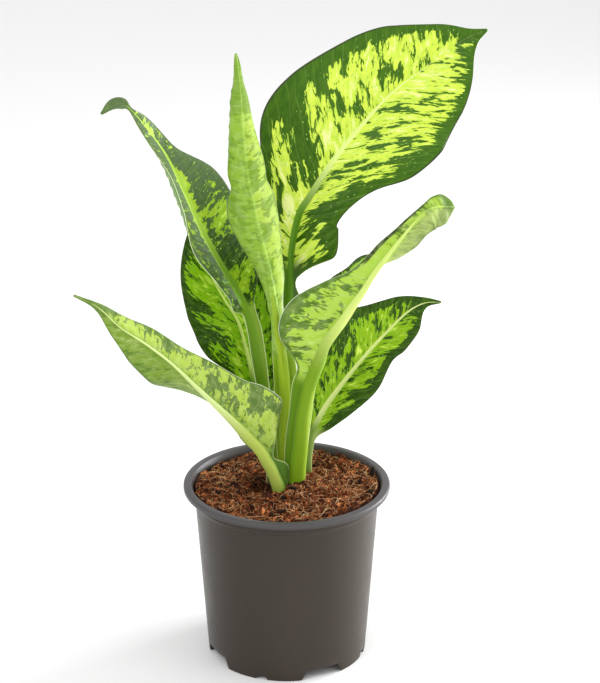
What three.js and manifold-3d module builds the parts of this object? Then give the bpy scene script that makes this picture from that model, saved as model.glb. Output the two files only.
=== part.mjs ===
// A potted dieffenbachia: seven leaves on a short stem, in a plastic nursery pot filled with coir mix.
// Units are millimetres and +Z is up. The front is -Y, with +X to the right.
// The origin is the middle of the pot's underside.

import * as THREE from 'three';
import { mergeVertices } from 'three/addons/utils/BufferGeometryUtils.js';
import Module from 'manifold-3d';

const wasm = await Module();
wasm.setup();

// Driving dimensions of the pot, a 12 cm nursery pot
const POT_HEIGHT = 106;
const RIM_RADIUS = 60;
const RIM_INNER_RADIUS = 55.4;
const RIM_BAND = 3.6;
const RIM_ROUNDING = 1.2;
const WALL = 1.2;
const WALL_RADIUS_TOP = 53.3;
const WALL_RADIUS_FOOT = 46.5;
const SHOULDER_HEIGHT = 96;
const FLOOR_HEIGHT = 7;
const FOOT_DISC_RADIUS = 15;
// The collar is a low band between the wall and the rim
const COLLAR = { out: 1.7, up: 1.6, height: 4 };
const AROUND = 48;

// Cuts in the pot's skirt, each as a width in degrees and a height
const WIDE_NOTCH = { count: 4, first: 27, width: 32, height: 6, slope: 3 };
const SMALL_NOTCH = { count: 4, first: 72, width: 8, height: 2.6, slope: 0.8 };
const DRAIN_HOLE = { count: 6, radius: 4, circle: 30 };
const CUTTER_LENGTH = 30;

// Driving dimensions of the mix and the plant
const CLEARANCE = 0.45;
const SOIL_LEVEL = 104;
const STEM = { x: 0, y: 4, radiusTop: 12, radiusFoot: 9, bottom: 62, top: 95.6, sides: 24 };
const FOOT_LEVEL = 96;
const BLADE_THICKNESS = 0.9;
const STEPS_PER_STATION = 2;

// The direction from the plant to someone looking at it from the front and a little above
const VIEW_TILT = THREE.MathUtils.degToRad(19);
const TO_VIEWER = new THREE.Vector3(0, -Math.cos(VIEW_TILT), Math.sin(VIEW_TILT));

// Each leaf is one piece: stalk, sheath, midrib and blade. It is given by stations along its rib, from the
// foot of the stalk to the tip, and a smooth curve runs through every column. A row holds
//   x, y, z of the rib,
//   the left half's width, lean and curl,
//   the right half's width, lean and curl,
//   the rib's half breadth and its depth behind the blade.
// A half starts at the rib and runs along an arc of the given width. Its lean is the angle by which it
// swings towards the viewer, negative for away, and its curl is the angle through which the arc bends.
const LEAVES = [
  {
    name: 'leaf_upper_right',
    faceSeen: 'upper',
    wave: 0.05,
    stations: [
      [0.5, 11, 94, 3.5, 0, 20, 3.5, 0, 20, 3.2, 4.6],
      [0.5, 11, 133.5, 3.5, 0, 20, 3.5, 0, 20, 3.1, 4.6],
      [1.5, 11.5, 164.5, 3.5, 0, 20, 3.5, 0, 20, 3, 4.4],
      [2, 12, 192, 3, 0, 20, 5, -20, 20, 2.7, 4.2],
      [2, 12.5, 211, 4, 0, 10, 7, -25, 10, 2.4, 4],
      [2.5, 13, 222.5, 4, 0, 0, 2.7, -20, 0, 2.2, 3.9],
      [2.5, 13, 229.5, 4, 8, 0, 7, 8, 0, 2.1, 3.8],
      [3, 14, 242.5, 8, 12, -10, 25, 12, -15, 2, 3.7],
      [7, 18, 261.5, 21, 14, -20, 24.6, 14, -20, 1.9, 3.3],
      [13.5, 22, 272, 33, 14, -25, 22.3, 14, -20, 1.8, 3.1],
      [25.5, 29, 289, 49.5, 14, -25, 29.5, 14, -25, 1.6, 2.7],
      [40, 36, 306, 49.5, 14, -25, 42.5, 14, -25, 1.4, 2.3],
      [59, 43, 325.5, 40.5, 13, -25, 44.5, 13, -25, 1.2, 1.8],
      [78.5, 47, 340, 29.5, 12, -20, 34.5, 12, -20, 1, 1.3],
      [93.5, 48, 351.5, 15.5, 10, -20, 21.5, 10, -20, 0.7, 1],
      [104, 47, 358, 4.5, 8, 0, 7, 8, 0, 0.6, 0.8],
      [112.5, 44, 362, 0.6, 0, 0, 0.6, 0, 0, 0.4, 0.5],
    ],
  },
  {
    name: 'leaf_centre_rolled',
    faceSeen: 'under',
    wave: 0.02,
    stations: [
      [0.5, 4, 94, 4.5, -20, -60, 4.5, -20, -60, 3.4, 4.6],
      [-0.5, 4, 123.5, 5.5, -20, -60, 5.5, -20, -60, 3.4, 4.6],
      [-1, 3, 143, 6, -20, -60, 6, -20, -60, 3.3, 4.6],
      [-1, 2, 162, 6.5, -20, -60, 8, -20, -60, 3.2, 4.4],
      [-2, 0, 178, 6, -20, -60, 8, -20, -60, 3, 4.2],
      [-3.5, -3, 191.5, 5, -20, -60, 5, -20, -60, 2.6, 3.8],
      [-5, -6, 204.5, 4.5, -40, -60, 5, -40, -60, 2.1, 3],
      [-7, -8, 217.5, 5.5, -50, -60, 8.5, -50, -50, 1.8, 2.6],
      [-8.5, -10, 230, 8, -45, -50, 11.5, -45, -50, 1.4, 1.6],
      [-11, -13, 244.5, 10.5, -35, -40, 13, -40, -50, 1.2, 0.8],
      [-14, -15, 257.5, 13.5, -25, -30, 16, -40, -50, 1.1, 0.5],
      [-17, -17, 272.5, 16, -20, -30, 17, -40, -50, 1, 0.4],
      [-18.5, -19, 282, 15, -30, -40, 15.5, -40, -50, 0.9, 0.4],
      [-20, -20, 288.5, 13, -40, -60, 14, -40, -50, 0.9, 0.4],
      [-21, -20.5, 295, 15.5, -45, -70, 14, -40, -50, 0.8, 0.4],
      [-22, -21, 305, 15.5, -50, -90, 13, -40, -60, 0.8, 0.4],
      [-23.5, -21, 322, 13, -55, -100, 9.5, -45, -60, 0.8, 0.4],
      [-24.5, -20, 338, 10.5, -60, -110, 7, -50, -60, 0.7, 0.4],
      [-25.5, -18, 351, 3.5, -50, -60, 3.5, -50, -60, 0.6, 0.6],
      [-26.5, -16, 362.5, 0.6, 0, 0, 0.6, 0, 0, 0.4, 0.5],
    ],
  },
  {
    name: 'leaf_upper_left',
    faceSeen: 'upper',
    wave: 0.04,
    stations: [
      [-8.5, 8, 94, 3.5, 10, 20, 3.5, 10, 20, 3.2, 4.6],
      [-8.5, 7.5, 128.5, 3.5, 10, 20, 3.5, 10, 20, 3.2, 4.6],
      [-12.5, 7, 154, 3.5, 10, 20, 3.5, 10, 20, 3.1, 4.6],
      [-16, 6, 179, 4, 10, 20, 4.5, -5, 20, 3, 4.6],
      [-19, 5, 197.5, 3.5, 10, 20, 5, -8, 20, 2.6, 4.4],
      [-22, 4.5, 208.5, 3.5, 20, 20, 5, -12, 10, 2.4, 4.2],
      [-24.5, 4, 214, 8, 35, 20, 8, -16, 0, 2.3, 4.1],
      [-29, 3, 222.5, 13, 65, 20, 18.5, -25, 0, 2.2, 3.9],
      [-36.5, 1.5, 236, 22, 75, 15, 27, -30, 0, 1.9, 3.5],
      [-47, 0, 257, 32, 76, 15, 29, -32, 0, 1.7, 2.9],
      [-56.5, -2, 281, 33, 84, 40, 24.5, -32, 0, 1.4, 2.3],
      [-65.5, -5, 302.5, 25, 84, 45, 8.5, -35, 0, 1.2, 1.8],
      [-74.5, -8, 317.5, 9, 64, 20, 8, -57, 0, 0.9, 1.2],
      [-83.3, -10.5, 329.6, 1.5, 30, 0, 1.4, -30, 0, 0.6, 0.8],
      [-88, -12, 334, 3.2, 20, 0, 3, 0, 0, 0.6, 0.8],
      [-93.5, -14, 334, 3, 15, 0, 2.8, 0, 0, 0.5, 0.7],
      [-99.5, -15, 329, 0.6, 0, 0, 0.6, 0, 0, 0.4, 0.5],
    ],
  },
  {
    name: 'leaf_middle_left',
    faceSeen: 'upper',
    wave: 0.05,
    stations: [
      [-7.5, 14.5, 94, 3, 10, 20, 3, 10, 20, 2.8, 4.2],
      [-14, 16, 137.5, 3.5, 10, 20, 4, 10, 20, 2.7, 4.2],
      [-18.5, 18, 152.5, 3, 10, 10, 11.5, 12, 0, 2.4, 3.9],
      [-20.5, 20, 166, 11, 14, -10, 16, 14, -10, 2.2, 3.5],
      [-24, 23, 181.5, 23.5, 15, -20, 20, 15, -20, 1.9, 3],
      [-28.5, 26, 196, 27, 15, -25, 24, 15, -25, 1.7, 2.6],
      [-36.5, 29, 208.5, 24.5, 15, -25, 25.5, 15, -25, 1.4, 2.2],
      [-43.5, 32, 221.5, 19, 14, -20, 23, 14, -20, 1.2, 1.8],
      [-47, 35, 235.5, 13.5, 12, -20, 17, 12, -20, 1, 1.4],
      [-48, 37, 250.5, 7, 10, -10, 9.5, 10, -10, 0.8, 1],
      [-46, 37, 265, 0.6, 0, 0, 0.6, 0, 0, 0.4, 0.5],
    ],
  },
  {
    name: 'leaf_lower_left',
    faceSeen: 'under',
    wave: 0.05,
    stations: [
      [-2, -9.5, 94, 4, -20, -40, 3.5, -20, -40, 3.4, 4.8],
      [-3.5, -10.5, 103.5, 4, -20, -40, 4, -20, -40, 3.4, 4.8],
      [-7, -12, 115.5, 4, -20, -40, 10, -22, -40, 3.2, 4.6],
      [-11, -13.5, 124.5, 4, -20, -40, 4.2, -20, -30, 3.1, 4.5],
      [-15.5, -15, 133, 4, -35, -20, 13.5, -12, -10, 2.9, 4.3],
      [-22.5, -18, 143, 14, -75, 0, 27.5, -8, -10, 2.3, 3.6],
      [-29, -21, 152, 20, -80, 0, 26, -8, -12, 1.9, 3],
      [-36.5, -25, 161.5, 22, -78, 0, 21, -12, -12, 1.5, 2.3],
      [-49, -34, 178, 23, -54, 0, 16.5, -16, -12, 1, 1.3],
      [-62, -45, 196, 18, -24, -12, 11, -20, -10, 0.8, 1],
      [-75, -56, 211.5, 14, -18, -12, 10, -28, 0, 0.7, 0.8],
      [-88, -64, 224, 7, -15, -10, 7, -28, 0, 0.6, 0.7],
      [-96.5, -69, 235, 3, -15, 0, 3.5, -20, 0, 0.7, 0.8],
      [-102.5, -72, 241, 1.5, 0, 0, 1.5, 0, 0, 0.5, 0.7],
      [-111.5, -75, 246.5, 0.6, 0, 0, 0.6, 0, 0, 0.4, 0.5],
    ],
  },
  {
    name: 'leaf_front_right',
    faceSeen: 'under',
    wave: 0.03,
    stations: [
      [5.5, -4.5, 94, 5, -30, -60, 4.5, -30, -60, 3.8, 5.2],
      [6, -6, 115.5, 8.5, -30, -60, 5, -30, -60, 3.9, 5.2],
      [7.5, -7, 131.5, 10, -30, -70, 5.5, -30, -70, 3.8, 5.2],
      [9, -9, 151, 9, -30, -70, 6.5, -35, -70, 3.5, 5],
      [11.5, -11, 167, 10, -26, -60, 7, -50, -60, 3.1, 4.7],
      [14.5, -13, 177.5, 9.5, -15, -20, 10, -70, 0, 2.9, 4.5],
      [17.5, -15, 186, 20, -8, -8, 15, -95, 0, 2.6, 4.2],
      [22, -19, 199.5, 29, -5, -12, 18.5, -122, 0, 2.4, 3.8],
      [30, -23, 213, 26.5, -5, -14, 22, -144, 0, 2.1, 3.4],
      [36.5, -26, 224, 20.5, -8, -14, 22, -143, 0, 1.9, 2.8],
      [43, -28, 234.5, 13, -12, -12, 17.5, -142, -20, 1.6, 2.1],
      [49, -30, 245, 9.4, -18, -10, 18, -120, -90, 1.3, 1.5],
      [56, -31, 255, 8.5, -22, -10, 11, -54, -50, 1.1, 1.2],
      [62.5, -31.5, 264, 6.3, -22, -10, 11.5, -34, -10, 0.9, 1],
      [68.5, -31, 271.5, 5, -22, -10, 11, -28, 0, 0.8, 0.9],
      [73.5, -30, 277, 4, -20, -10, 12.5, -26, 0, 0.8, 0.8],
      [77.5, -28.5, 279.7, 4.3, -18, -10, 12.2, -22, 0, 0.7, 0.8],
      [81.3, -26, 280.1, 6.2, -16, 0, 12.2, -18, 0, 0.7, 0.7],
      [85.3, -23.5, 279.5, 7, -12, 0, 11.2, -14, 0, 0.6, 0.6],
      [89.3, -20.5, 278.4, 4.5, -8, 0, 8.1, -8, 0, 0.6, 0.6],
      [92, -18.3, 277.3, 0.6, 0, 0, 0.6, 0, 0, 0.4, 0.5],
    ],
  },
  {
    name: 'leaf_lower_right',
    faceSeen: 'upper',
    wave: 0.05,
    stations: [
      [12.5, 5, 94, 3, 0, 20, 3, 0, 20, 2.4, 3.8],
      [12, 5, 110.5, 2.5, 0, 20, 2.5, 0, 20, 2.3, 3.8],
      [12.5, 6.5, 121.5, 2.5, 0, 20, 2.5, 0, 20, 2.2, 3.6],
      [14, 9, 130.5, 3, 0, 20, 3.5, 0, 20, 2, 3.4],
      [18, 12, 139, 7, 10, 0, 9.5, 10, 0, 1.9, 3.2],
      [25, 17, 149.5, 17, 15, -15, 15, 15, -15, 1.7, 2.8],
      [38, 25, 164.5, 25.5, 16, -22, 19, 16, -22, 1.5, 2.3],
      [50.5, 33, 177, 28.5, 16, -22, 14.5, 16, -22, 1.3, 1.9],
      [58.5, 37, 184.5, 22, 15, -20, 15.5, 15, -20, 1.1, 1.6],
      [70, 41, 195, 12, 12, -20, 12.5, 12, -20, 0.9, 1.2],
      [80, 42, 200.5, 4, 10, 0, 3.5, 10, 0, 0.6, 0.9],
      [90, 40, 202, 0.6, 0, 0, 0.6, 0, 0, 0.4, 0.5],
    ],
  },
];

// Margin waves: turns per station, and how far the left half's wave runs ahead of the right half's
const WAVE_TURNS = 0.45;
const WAVE_OFFSET = 1.9;

const MATERIALS = {
  leafUpper: new THREE.MeshStandardMaterial({ color: 0x3f8a2e, roughness: 0.42, metalness: 0 }),
  leafUnder: new THREE.MeshStandardMaterial({ color: 0xa9cf5a, roughness: 0.5, metalness: 0 }),
  stem: new THREE.MeshStandardMaterial({ color: 0x8a9a4a, roughness: 0.6, metalness: 0 }),
  soil: new THREE.MeshStandardMaterial({ color: 0x6b3a22, roughness: 0.95, metalness: 0 }),
  pot: new THREE.MeshStandardMaterial({ color: 0x4b4640, roughness: 0.5, metalness: 0 }),
};

const radians = THREE.MathUtils.degToRad;

// Solids

function toSolid(geometry) {
  const plain = geometry.clone();
  plain.deleteAttribute('normal');
  plain.deleteAttribute('uv');
  const merged = mergeVertices(plain, 1e-4);
  return new wasm.Manifold(new wasm.Mesh({
    numProp: 3,
    vertProperties: new Float32Array(merged.attributes.position.array),
    triVerts: new Uint32Array(merged.index.array),
  }));
}

function toGeometry(solid) {
  const mesh = solid.getMesh();
  const geometry = new THREE.BufferGeometry();
  geometry.setAttribute('position', new THREE.BufferAttribute(mesh.vertProperties, 3));
  geometry.setIndex(new THREE.BufferAttribute(mesh.triVerts, 1));
  geometry.computeVertexNormals();
  return geometry;
}

function namedMesh(name, geometry, material) {
  const mesh = new THREE.Mesh(geometry, material);
  mesh.name = name;
  return mesh;
}

// A lathe turned about Z from a closed profile of [radius, height] points
function turned(profile) {
  const points = profile.map(([radius, height]) => new THREE.Vector2(radius, height));
  return new THREE.LatheGeometry(points, AROUND).rotateX(Math.PI / 2);
}

// Leaves

// The uniform Catmull-Rom curve through the stations, with the ends carried on straight
function stationAt(stations, place) {
  const i = Math.min(Math.floor(place), stations.length - 2);
  const t = place - i;
  const start = stations[i];
  const end = stations[i + 1];
  const before = stations[i - 1] ?? start.map((value, k) => 2 * value - end[k]);
  const after = stations[i + 2] ?? end.map((value, k) => 2 * value - start[k]);
  return start.map((value, k) => {
    const slopeIn = (end[k] - before[k]) / 2;
    const slopeOut = (after[k] - value) / 2;
    const cubic = 2 * value - 2 * end[k] + slopeIn + slopeOut;
    const square = 3 * end[k] - 3 * value - 2 * slopeIn - slopeOut;
    return ((cubic * t + square) * t + slopeIn) * t + value;
  });
}

// How far the rib has grown out of the blade at a distance from its middle
function ribDepthAt(distance, halfBreadth, depth) {
  const share = Math.min(distance / halfBreadth, 1);
  return depth * Math.sqrt(1 - share * share);
}

// Points of one cross-section: the side nearer the viewer and the far side, from left margin to right
function crossSection(leaf, place, grow) {
  const step = 0.05;
  const last = leaf.stations.length - 1;
  const row = stationAt(leaf.stations, place);
  const ahead = new THREE.Vector3(...stationAt(leaf.stations, Math.min(place + step, last)));
  const behind = new THREE.Vector3(...stationAt(leaf.stations, Math.max(place - step, 0)));
  const along = ahead.sub(behind).normalize();
  const across = new THREE.Vector3().crossVectors(along, TO_VIEWER).normalize();
  const outward = new THREE.Vector3().crossVectors(across, along);
  const rib = new THREE.Vector3(row[0], row[1], row[2]);
  const ribDepth = row[10] + grow;
  const halfThickness = BLADE_THICKNESS / 2 + grow;

  const halves = [-1, 1].map((side) => {
    const columns = side < 0 ? row.slice(3, 6) : row.slice(6, 9);
    const width = Math.max(columns[0], 0.5) + grow;
    const curl = Math.abs(columns[2]) < 0.1 ? radians(0.1) : radians(columns[2]);
    const startAngle = radians(columns[1]) - curl / 2;
    const phase = side < 0 ? WAVE_OFFSET : 0;
    const waveHeight = leaf.wave * width * Math.sin(2 * Math.PI * WAVE_TURNS * place + phase);
    const ribHalf = Math.min(row[9] + grow, 0.85 * width);
    const distances = [0, 0.6 * ribHalf, ribHalf, (ribHalf + width) / 2, width];
    return distances.map((distance) => {
      const share = distance / width;
      const angle = startAngle + curl * share;
      const sideways = (width / curl) * (Math.sin(angle) - Math.sin(startAngle));
      const forward = (width / curl) * (Math.cos(startAngle) - Math.cos(angle));
      const middle = rib.clone()
        .addScaledVector(across, side * sideways)
        .addScaledVector(outward, forward + waveHeight * share * share);
      const normal = new THREE.Vector3()
        .addScaledVector(across, -side * Math.sin(angle))
        .addScaledVector(outward, Math.cos(angle));
      return { middle, normal, bulge: ribDepthAt(distance, ribHalf, ribDepth) };
    });
  });

  // Both halves share the rib's own point, whose normal is the mean of the two
  const [left, right] = halves;
  right[0].normal.add(left[0].normal).normalize();
  const points = [...left.slice(1).reverse(), ...right];
  const nearBulge = leaf.faceSeen === 'under' ? 1 : 0;
  const near = points.map(({ middle, normal, bulge }) => (
    middle.clone().addScaledVector(normal, halfThickness + nearBulge * bulge)
  ));
  const far = points.map(({ middle, normal, bulge }) => (
    middle.clone().addScaledVector(normal, -halfThickness - (1 - nearBulge) * bulge)
  ));
  return { near, far };
}

// A closed skin through cross-sections. Both faces are split into triangles alike, so that a thin waved
// blade keeps its thickness.
function leafGeometry(leaf, lastPlace, grow = 0) {
  const sectionCount = lastPlace * STEPS_PER_STATION + 1;
  const positions = [];
  const indices = [];
  let columns = 0;
  for (let i = 0; i < sectionCount; i += 1) {
    const { near, far } = crossSection(leaf, i / STEPS_PER_STATION, grow);
    columns = near.length;
    [...near, ...far].forEach((point) => positions.push(point.x, point.y, point.z));
  }
  const near = (i, j) => i * 2 * columns + j;
  const far = (i, j) => near(i, j) + columns;
  const addQuad = (a, b, c, d) => indices.push(a, b, c, a, c, d);
  const addQuadOtherWay = (a, b, c, d) => indices.push(a, b, d, b, c, d);
  for (let i = 0; i < sectionCount - 1; i += 1) {
    for (let j = 0; j < columns - 1; j += 1) {
      addQuad(near(i, j), near(i, j + 1), near(i + 1, j + 1), near(i + 1, j));
      addQuadOtherWay(far(i, j + 1), far(i, j), far(i + 1, j), far(i + 1, j + 1));
    }
    addQuad(far(i, 0), near(i, 0), near(i + 1, 0), far(i + 1, 0));
    addQuad(near(i, columns - 1), far(i, columns - 1), far(i + 1, columns - 1), near(i + 1, columns - 1));
  }
  const tip = sectionCount - 1;
  for (let j = 0; j < columns - 1; j += 1) {
    addQuad(far(0, j), far(0, j + 1), near(0, j + 1), near(0, j));
    addQuad(near(tip, j), near(tip, j + 1), far(tip, j + 1), far(tip, j));
  }
  const geometry = new THREE.BufferGeometry();
  geometry.setAttribute('position', new THREE.Float32BufferAttribute(positions, 3));
  geometry.setIndex(indices);
  return geometry;
}

// The stalks end flat, level with the top of the stem
function leafMesh(leaf) {
  const across = 2 * RIM_RADIUS;
  const below = new THREE.BoxGeometry(across, across, FOOT_LEVEL).translate(0, 0, FOOT_LEVEL / 2);
  const whole = toSolid(leafGeometry(leaf, leaf.stations.length - 1));
  const material = leaf.faceSeen === 'upper' ? MATERIALS.leafUpper : MATERIALS.leafUnder;
  return namedMesh(leaf.name, toGeometry(whole.subtract(toSolid(below))), material);
}

// Stem

function stemGeometry(grow = 0) {
  const height = STEM.top - STEM.bottom + 2 * grow;
  return new THREE.CylinderGeometry(STEM.radiusTop + grow, STEM.radiusFoot + grow, height, STEM.sides)
    .rotateX(Math.PI / 2)
    .translate(STEM.x, STEM.y, (STEM.top + STEM.bottom) / 2);
}

// Pot

const floorTop = FLOOR_HEIGHT + WALL;
const wallSlope = (WALL_RADIUS_TOP - WALL_RADIUS_FOOT) / SHOULDER_HEIGHT;
const wallRadiusAt = (height) => WALL_RADIUS_FOOT + wallSlope * height;
const innerRadiusAt = (height) => wallRadiusAt(height) - WALL;
const collarRadius = WALL_RADIUS_TOP + COLLAR.out;
const collarBottom = SHOULDER_HEIGHT + COLLAR.up;
const collarTop = collarBottom + COLLAR.height;

function notchCutter({ width, height, slope }, angle) {
  const half = WALL_RADIUS_FOOT * radians(width) / 2;
  const outline = new THREE.Shape();
  outline.moveTo(-half, -1);
  outline.lineTo(half, -1);
  outline.lineTo(half - slope, height);
  outline.lineTo(slope - half, height);
  outline.closePath();
  return new THREE.ExtrudeGeometry(outline, { depth: CUTTER_LENGTH, bevelEnabled: false })
    .rotateX(Math.PI / 2)
    .translate(0, -WALL_RADIUS_FOOT + CUTTER_LENGTH / 2, 0)
    .rotateZ(radians(angle));
}

function drainCutter({ radius, circle }, angle) {
  return new THREE.CylinderGeometry(radius, radius, CUTTER_LENGTH, 10)
    .rotateX(Math.PI / 2)
    .translate(0, -circle, 0)
    .rotateZ(radians(angle));
}

function aroundPot(pattern, first, makeCutter) {
  return Array.from({ length: pattern.count }, (_, i) => (
    toSolid(makeCutter(pattern, first + (360 / pattern.count) * i))
  ));
}

function potMesh() {
  const lipBottom = POT_HEIGHT - RIM_BAND;
  const profile = [
    [0, 0],
    [FOOT_DISC_RADIUS, 0],
    [FOOT_DISC_RADIUS + 2.5, FLOOR_HEIGHT],
    [innerRadiusAt(FLOOR_HEIGHT) - 0.2, FLOOR_HEIGHT],
    [innerRadiusAt(0), 0],
    [WALL_RADIUS_FOOT, 0],
    [WALL_RADIUS_TOP, SHOULDER_HEIGHT],
    [collarRadius, collarBottom],
    [collarRadius, collarTop],
    [RIM_RADIUS - RIM_ROUNDING, lipBottom],
    [RIM_RADIUS, lipBottom + RIM_ROUNDING],
    [RIM_RADIUS, POT_HEIGHT - RIM_ROUNDING],
    [RIM_RADIUS - RIM_ROUNDING, POT_HEIGHT],
    [RIM_INNER_RADIUS + 0.8, POT_HEIGHT],
    [RIM_INNER_RADIUS, POT_HEIGHT - 0.8],
    [collarRadius - WALL, collarTop],
    [collarRadius - WALL, collarBottom + 0.6],
    [innerRadiusAt(SHOULDER_HEIGHT), SHOULDER_HEIGHT],
    [innerRadiusAt(floorTop), floorTop],
    [FOOT_DISC_RADIUS + 1.7, floorTop],
    [FOOT_DISC_RADIUS - 0.8, WALL],
    [0, WALL],
  ];
  const cutters = [
    ...aroundPot(WIDE_NOTCH, WIDE_NOTCH.first, notchCutter),
    ...aroundPot(SMALL_NOTCH, SMALL_NOTCH.first, notchCutter),
    ...aroundPot(DRAIN_HOLE, 0, drainCutter),
  ];
  const body = toSolid(turned(profile));
  return namedMesh('pot', toGeometry(body.subtract(wasm.Manifold.union(cutters))), MATERIALS.pot);
}

// Soil

// Height of the mix: highest at the front right of the stalks, with a hollow left of them
function soilHeight(x, y) {
  const tilt = 1.5 * (x - y) / 70;
  const mound = 7 * Math.exp(-((x - 12) ** 2 + (y + 6) ** 2) / 420);
  const hollow = -3.5 * Math.exp(-((x + 11) ** 2 + (y + 4) ** 2) / 130);
  const lumps = 0.8 * Math.sin(0.33 * x + 1.3) * Math.sin(0.29 * y - 0.4)
    + 0.5 * Math.sin(0.61 * x - 0.35 * y + 2) * Math.sin(0.52 * y + 0.2 * x);
  return SOIL_LEVEL - 1 + tilt + mound + hollow + lumps;
}

// Rings of the body of mix: down the middle, out over the pot's floor, up its wall and in over the top
function soilGeometry() {
  const seam = floorTop + CLEARANCE;
  const underside = [
    [FOOT_DISC_RADIUS - 1.3, WALL + CLEARANCE],
    [FOOT_DISC_RADIUS + 1.2, seam],
    [innerRadiusAt(floorTop) - CLEARANCE, seam],
    [innerRadiusAt(SHOULDER_HEIGHT) - CLEARANCE, SHOULDER_HEIGHT],
    [collarRadius - WALL - CLEARANCE, collarBottom + 1.2],
  ];
  const topRadii = [53.3, 47, 41, 35, 29, 23, 17, 11, 5];
  const rings = [
    ...underside.map(([radius, height]) => ({ radius, heightAt: () => height })),
    ...topRadii.map((radius) => ({ radius, heightAt: soilHeight })),
  ];
  const positions = [0, 0, WALL + CLEARANCE];
  rings.forEach(({ radius, heightAt }) => {
    for (let k = 0; k < AROUND; k += 1) {
      const x = radius * Math.sin((2 * Math.PI * k) / AROUND);
      const y = -radius * Math.cos((2 * Math.PI * k) / AROUND);
      positions.push(x, y, heightAt(x, y));
    }
  });
  positions.push(0, 0, soilHeight(0, 0));
  const at = (ring, k) => 1 + ring * AROUND + (k % AROUND);
  const top = 1 + rings.length * AROUND;
  const indices = [];
  for (let k = 0; k < AROUND; k += 1) {
    indices.push(0, at(0, k + 1), at(0, k));
    for (let ring = 0; ring < rings.length - 1; ring += 1) {
      indices.push(at(ring, k), at(ring, k + 1), at(ring + 1, k + 1));
      indices.push(at(ring, k), at(ring + 1, k + 1), at(ring + 1, k));
    }
    indices.push(at(rings.length - 1, k), at(rings.length - 1, k + 1), top);
  }
  const geometry = new THREE.BufferGeometry();
  geometry.setAttribute('position', new THREE.Float32BufferAttribute(positions, 3));
  geometry.setIndex(indices);
  return geometry;
}

// The stalks and the stem stand in plain holes that follow their own outlines
function soilMesh() {
  const stalkStations = 3;
  const holes = LEAVES.map((leaf) => toSolid(leafGeometry(leaf, stalkStations, CLEARANCE)));
  holes.push(toSolid(stemGeometry(CLEARANCE)));
  const solid = toSolid(soilGeometry()).subtract(wasm.Manifold.union(holes));
  return namedMesh('soil', toGeometry(solid), MATERIALS.soil);
}

const plant = new THREE.Group();
plant.add(namedMesh('stem', stemGeometry(), MATERIALS.stem));
LEAVES.forEach((leaf) => plant.add(leafMesh(leaf)));

const pottedPlant = new THREE.Group();
pottedPlant.add(potMesh());
pottedPlant.add(soilMesh());
pottedPlant.add(plant);

export default pottedPlant;
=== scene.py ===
"""The looks of a potted dieffenbachia: leaves with mottled faces, a moulded nursery pot and coir mix.

Lengths are in millimetres until a mesh is made, which is in metres. The front is -Y and +Z is up, as in the
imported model, and the origin is the middle of the pot's underside.
"""

import math
from types import SimpleNamespace

import bmesh
import bpy
import numpy as np
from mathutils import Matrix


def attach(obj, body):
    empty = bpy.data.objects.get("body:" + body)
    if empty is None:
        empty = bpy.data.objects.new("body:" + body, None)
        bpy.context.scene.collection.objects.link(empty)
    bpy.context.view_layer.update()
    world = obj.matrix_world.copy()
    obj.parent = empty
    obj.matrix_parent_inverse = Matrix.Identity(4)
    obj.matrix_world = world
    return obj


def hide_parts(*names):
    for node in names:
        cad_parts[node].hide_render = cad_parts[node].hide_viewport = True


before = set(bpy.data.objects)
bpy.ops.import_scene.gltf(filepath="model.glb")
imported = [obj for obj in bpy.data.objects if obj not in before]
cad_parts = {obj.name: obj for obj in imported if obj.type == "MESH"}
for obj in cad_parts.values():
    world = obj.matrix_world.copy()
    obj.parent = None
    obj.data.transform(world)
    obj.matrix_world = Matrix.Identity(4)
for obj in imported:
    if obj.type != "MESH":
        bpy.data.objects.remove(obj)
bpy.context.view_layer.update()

MM = 0.001

# Points closer than this are one point
WELD_DISTANCE = 0.02

# The direction from the plant to someone looking at it from the front and a little above
VIEW_TILT = math.radians(19)
TO_VIEWER = np.array([0.0, -math.cos(VIEW_TILT), math.sin(VIEW_TILT)])

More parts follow.
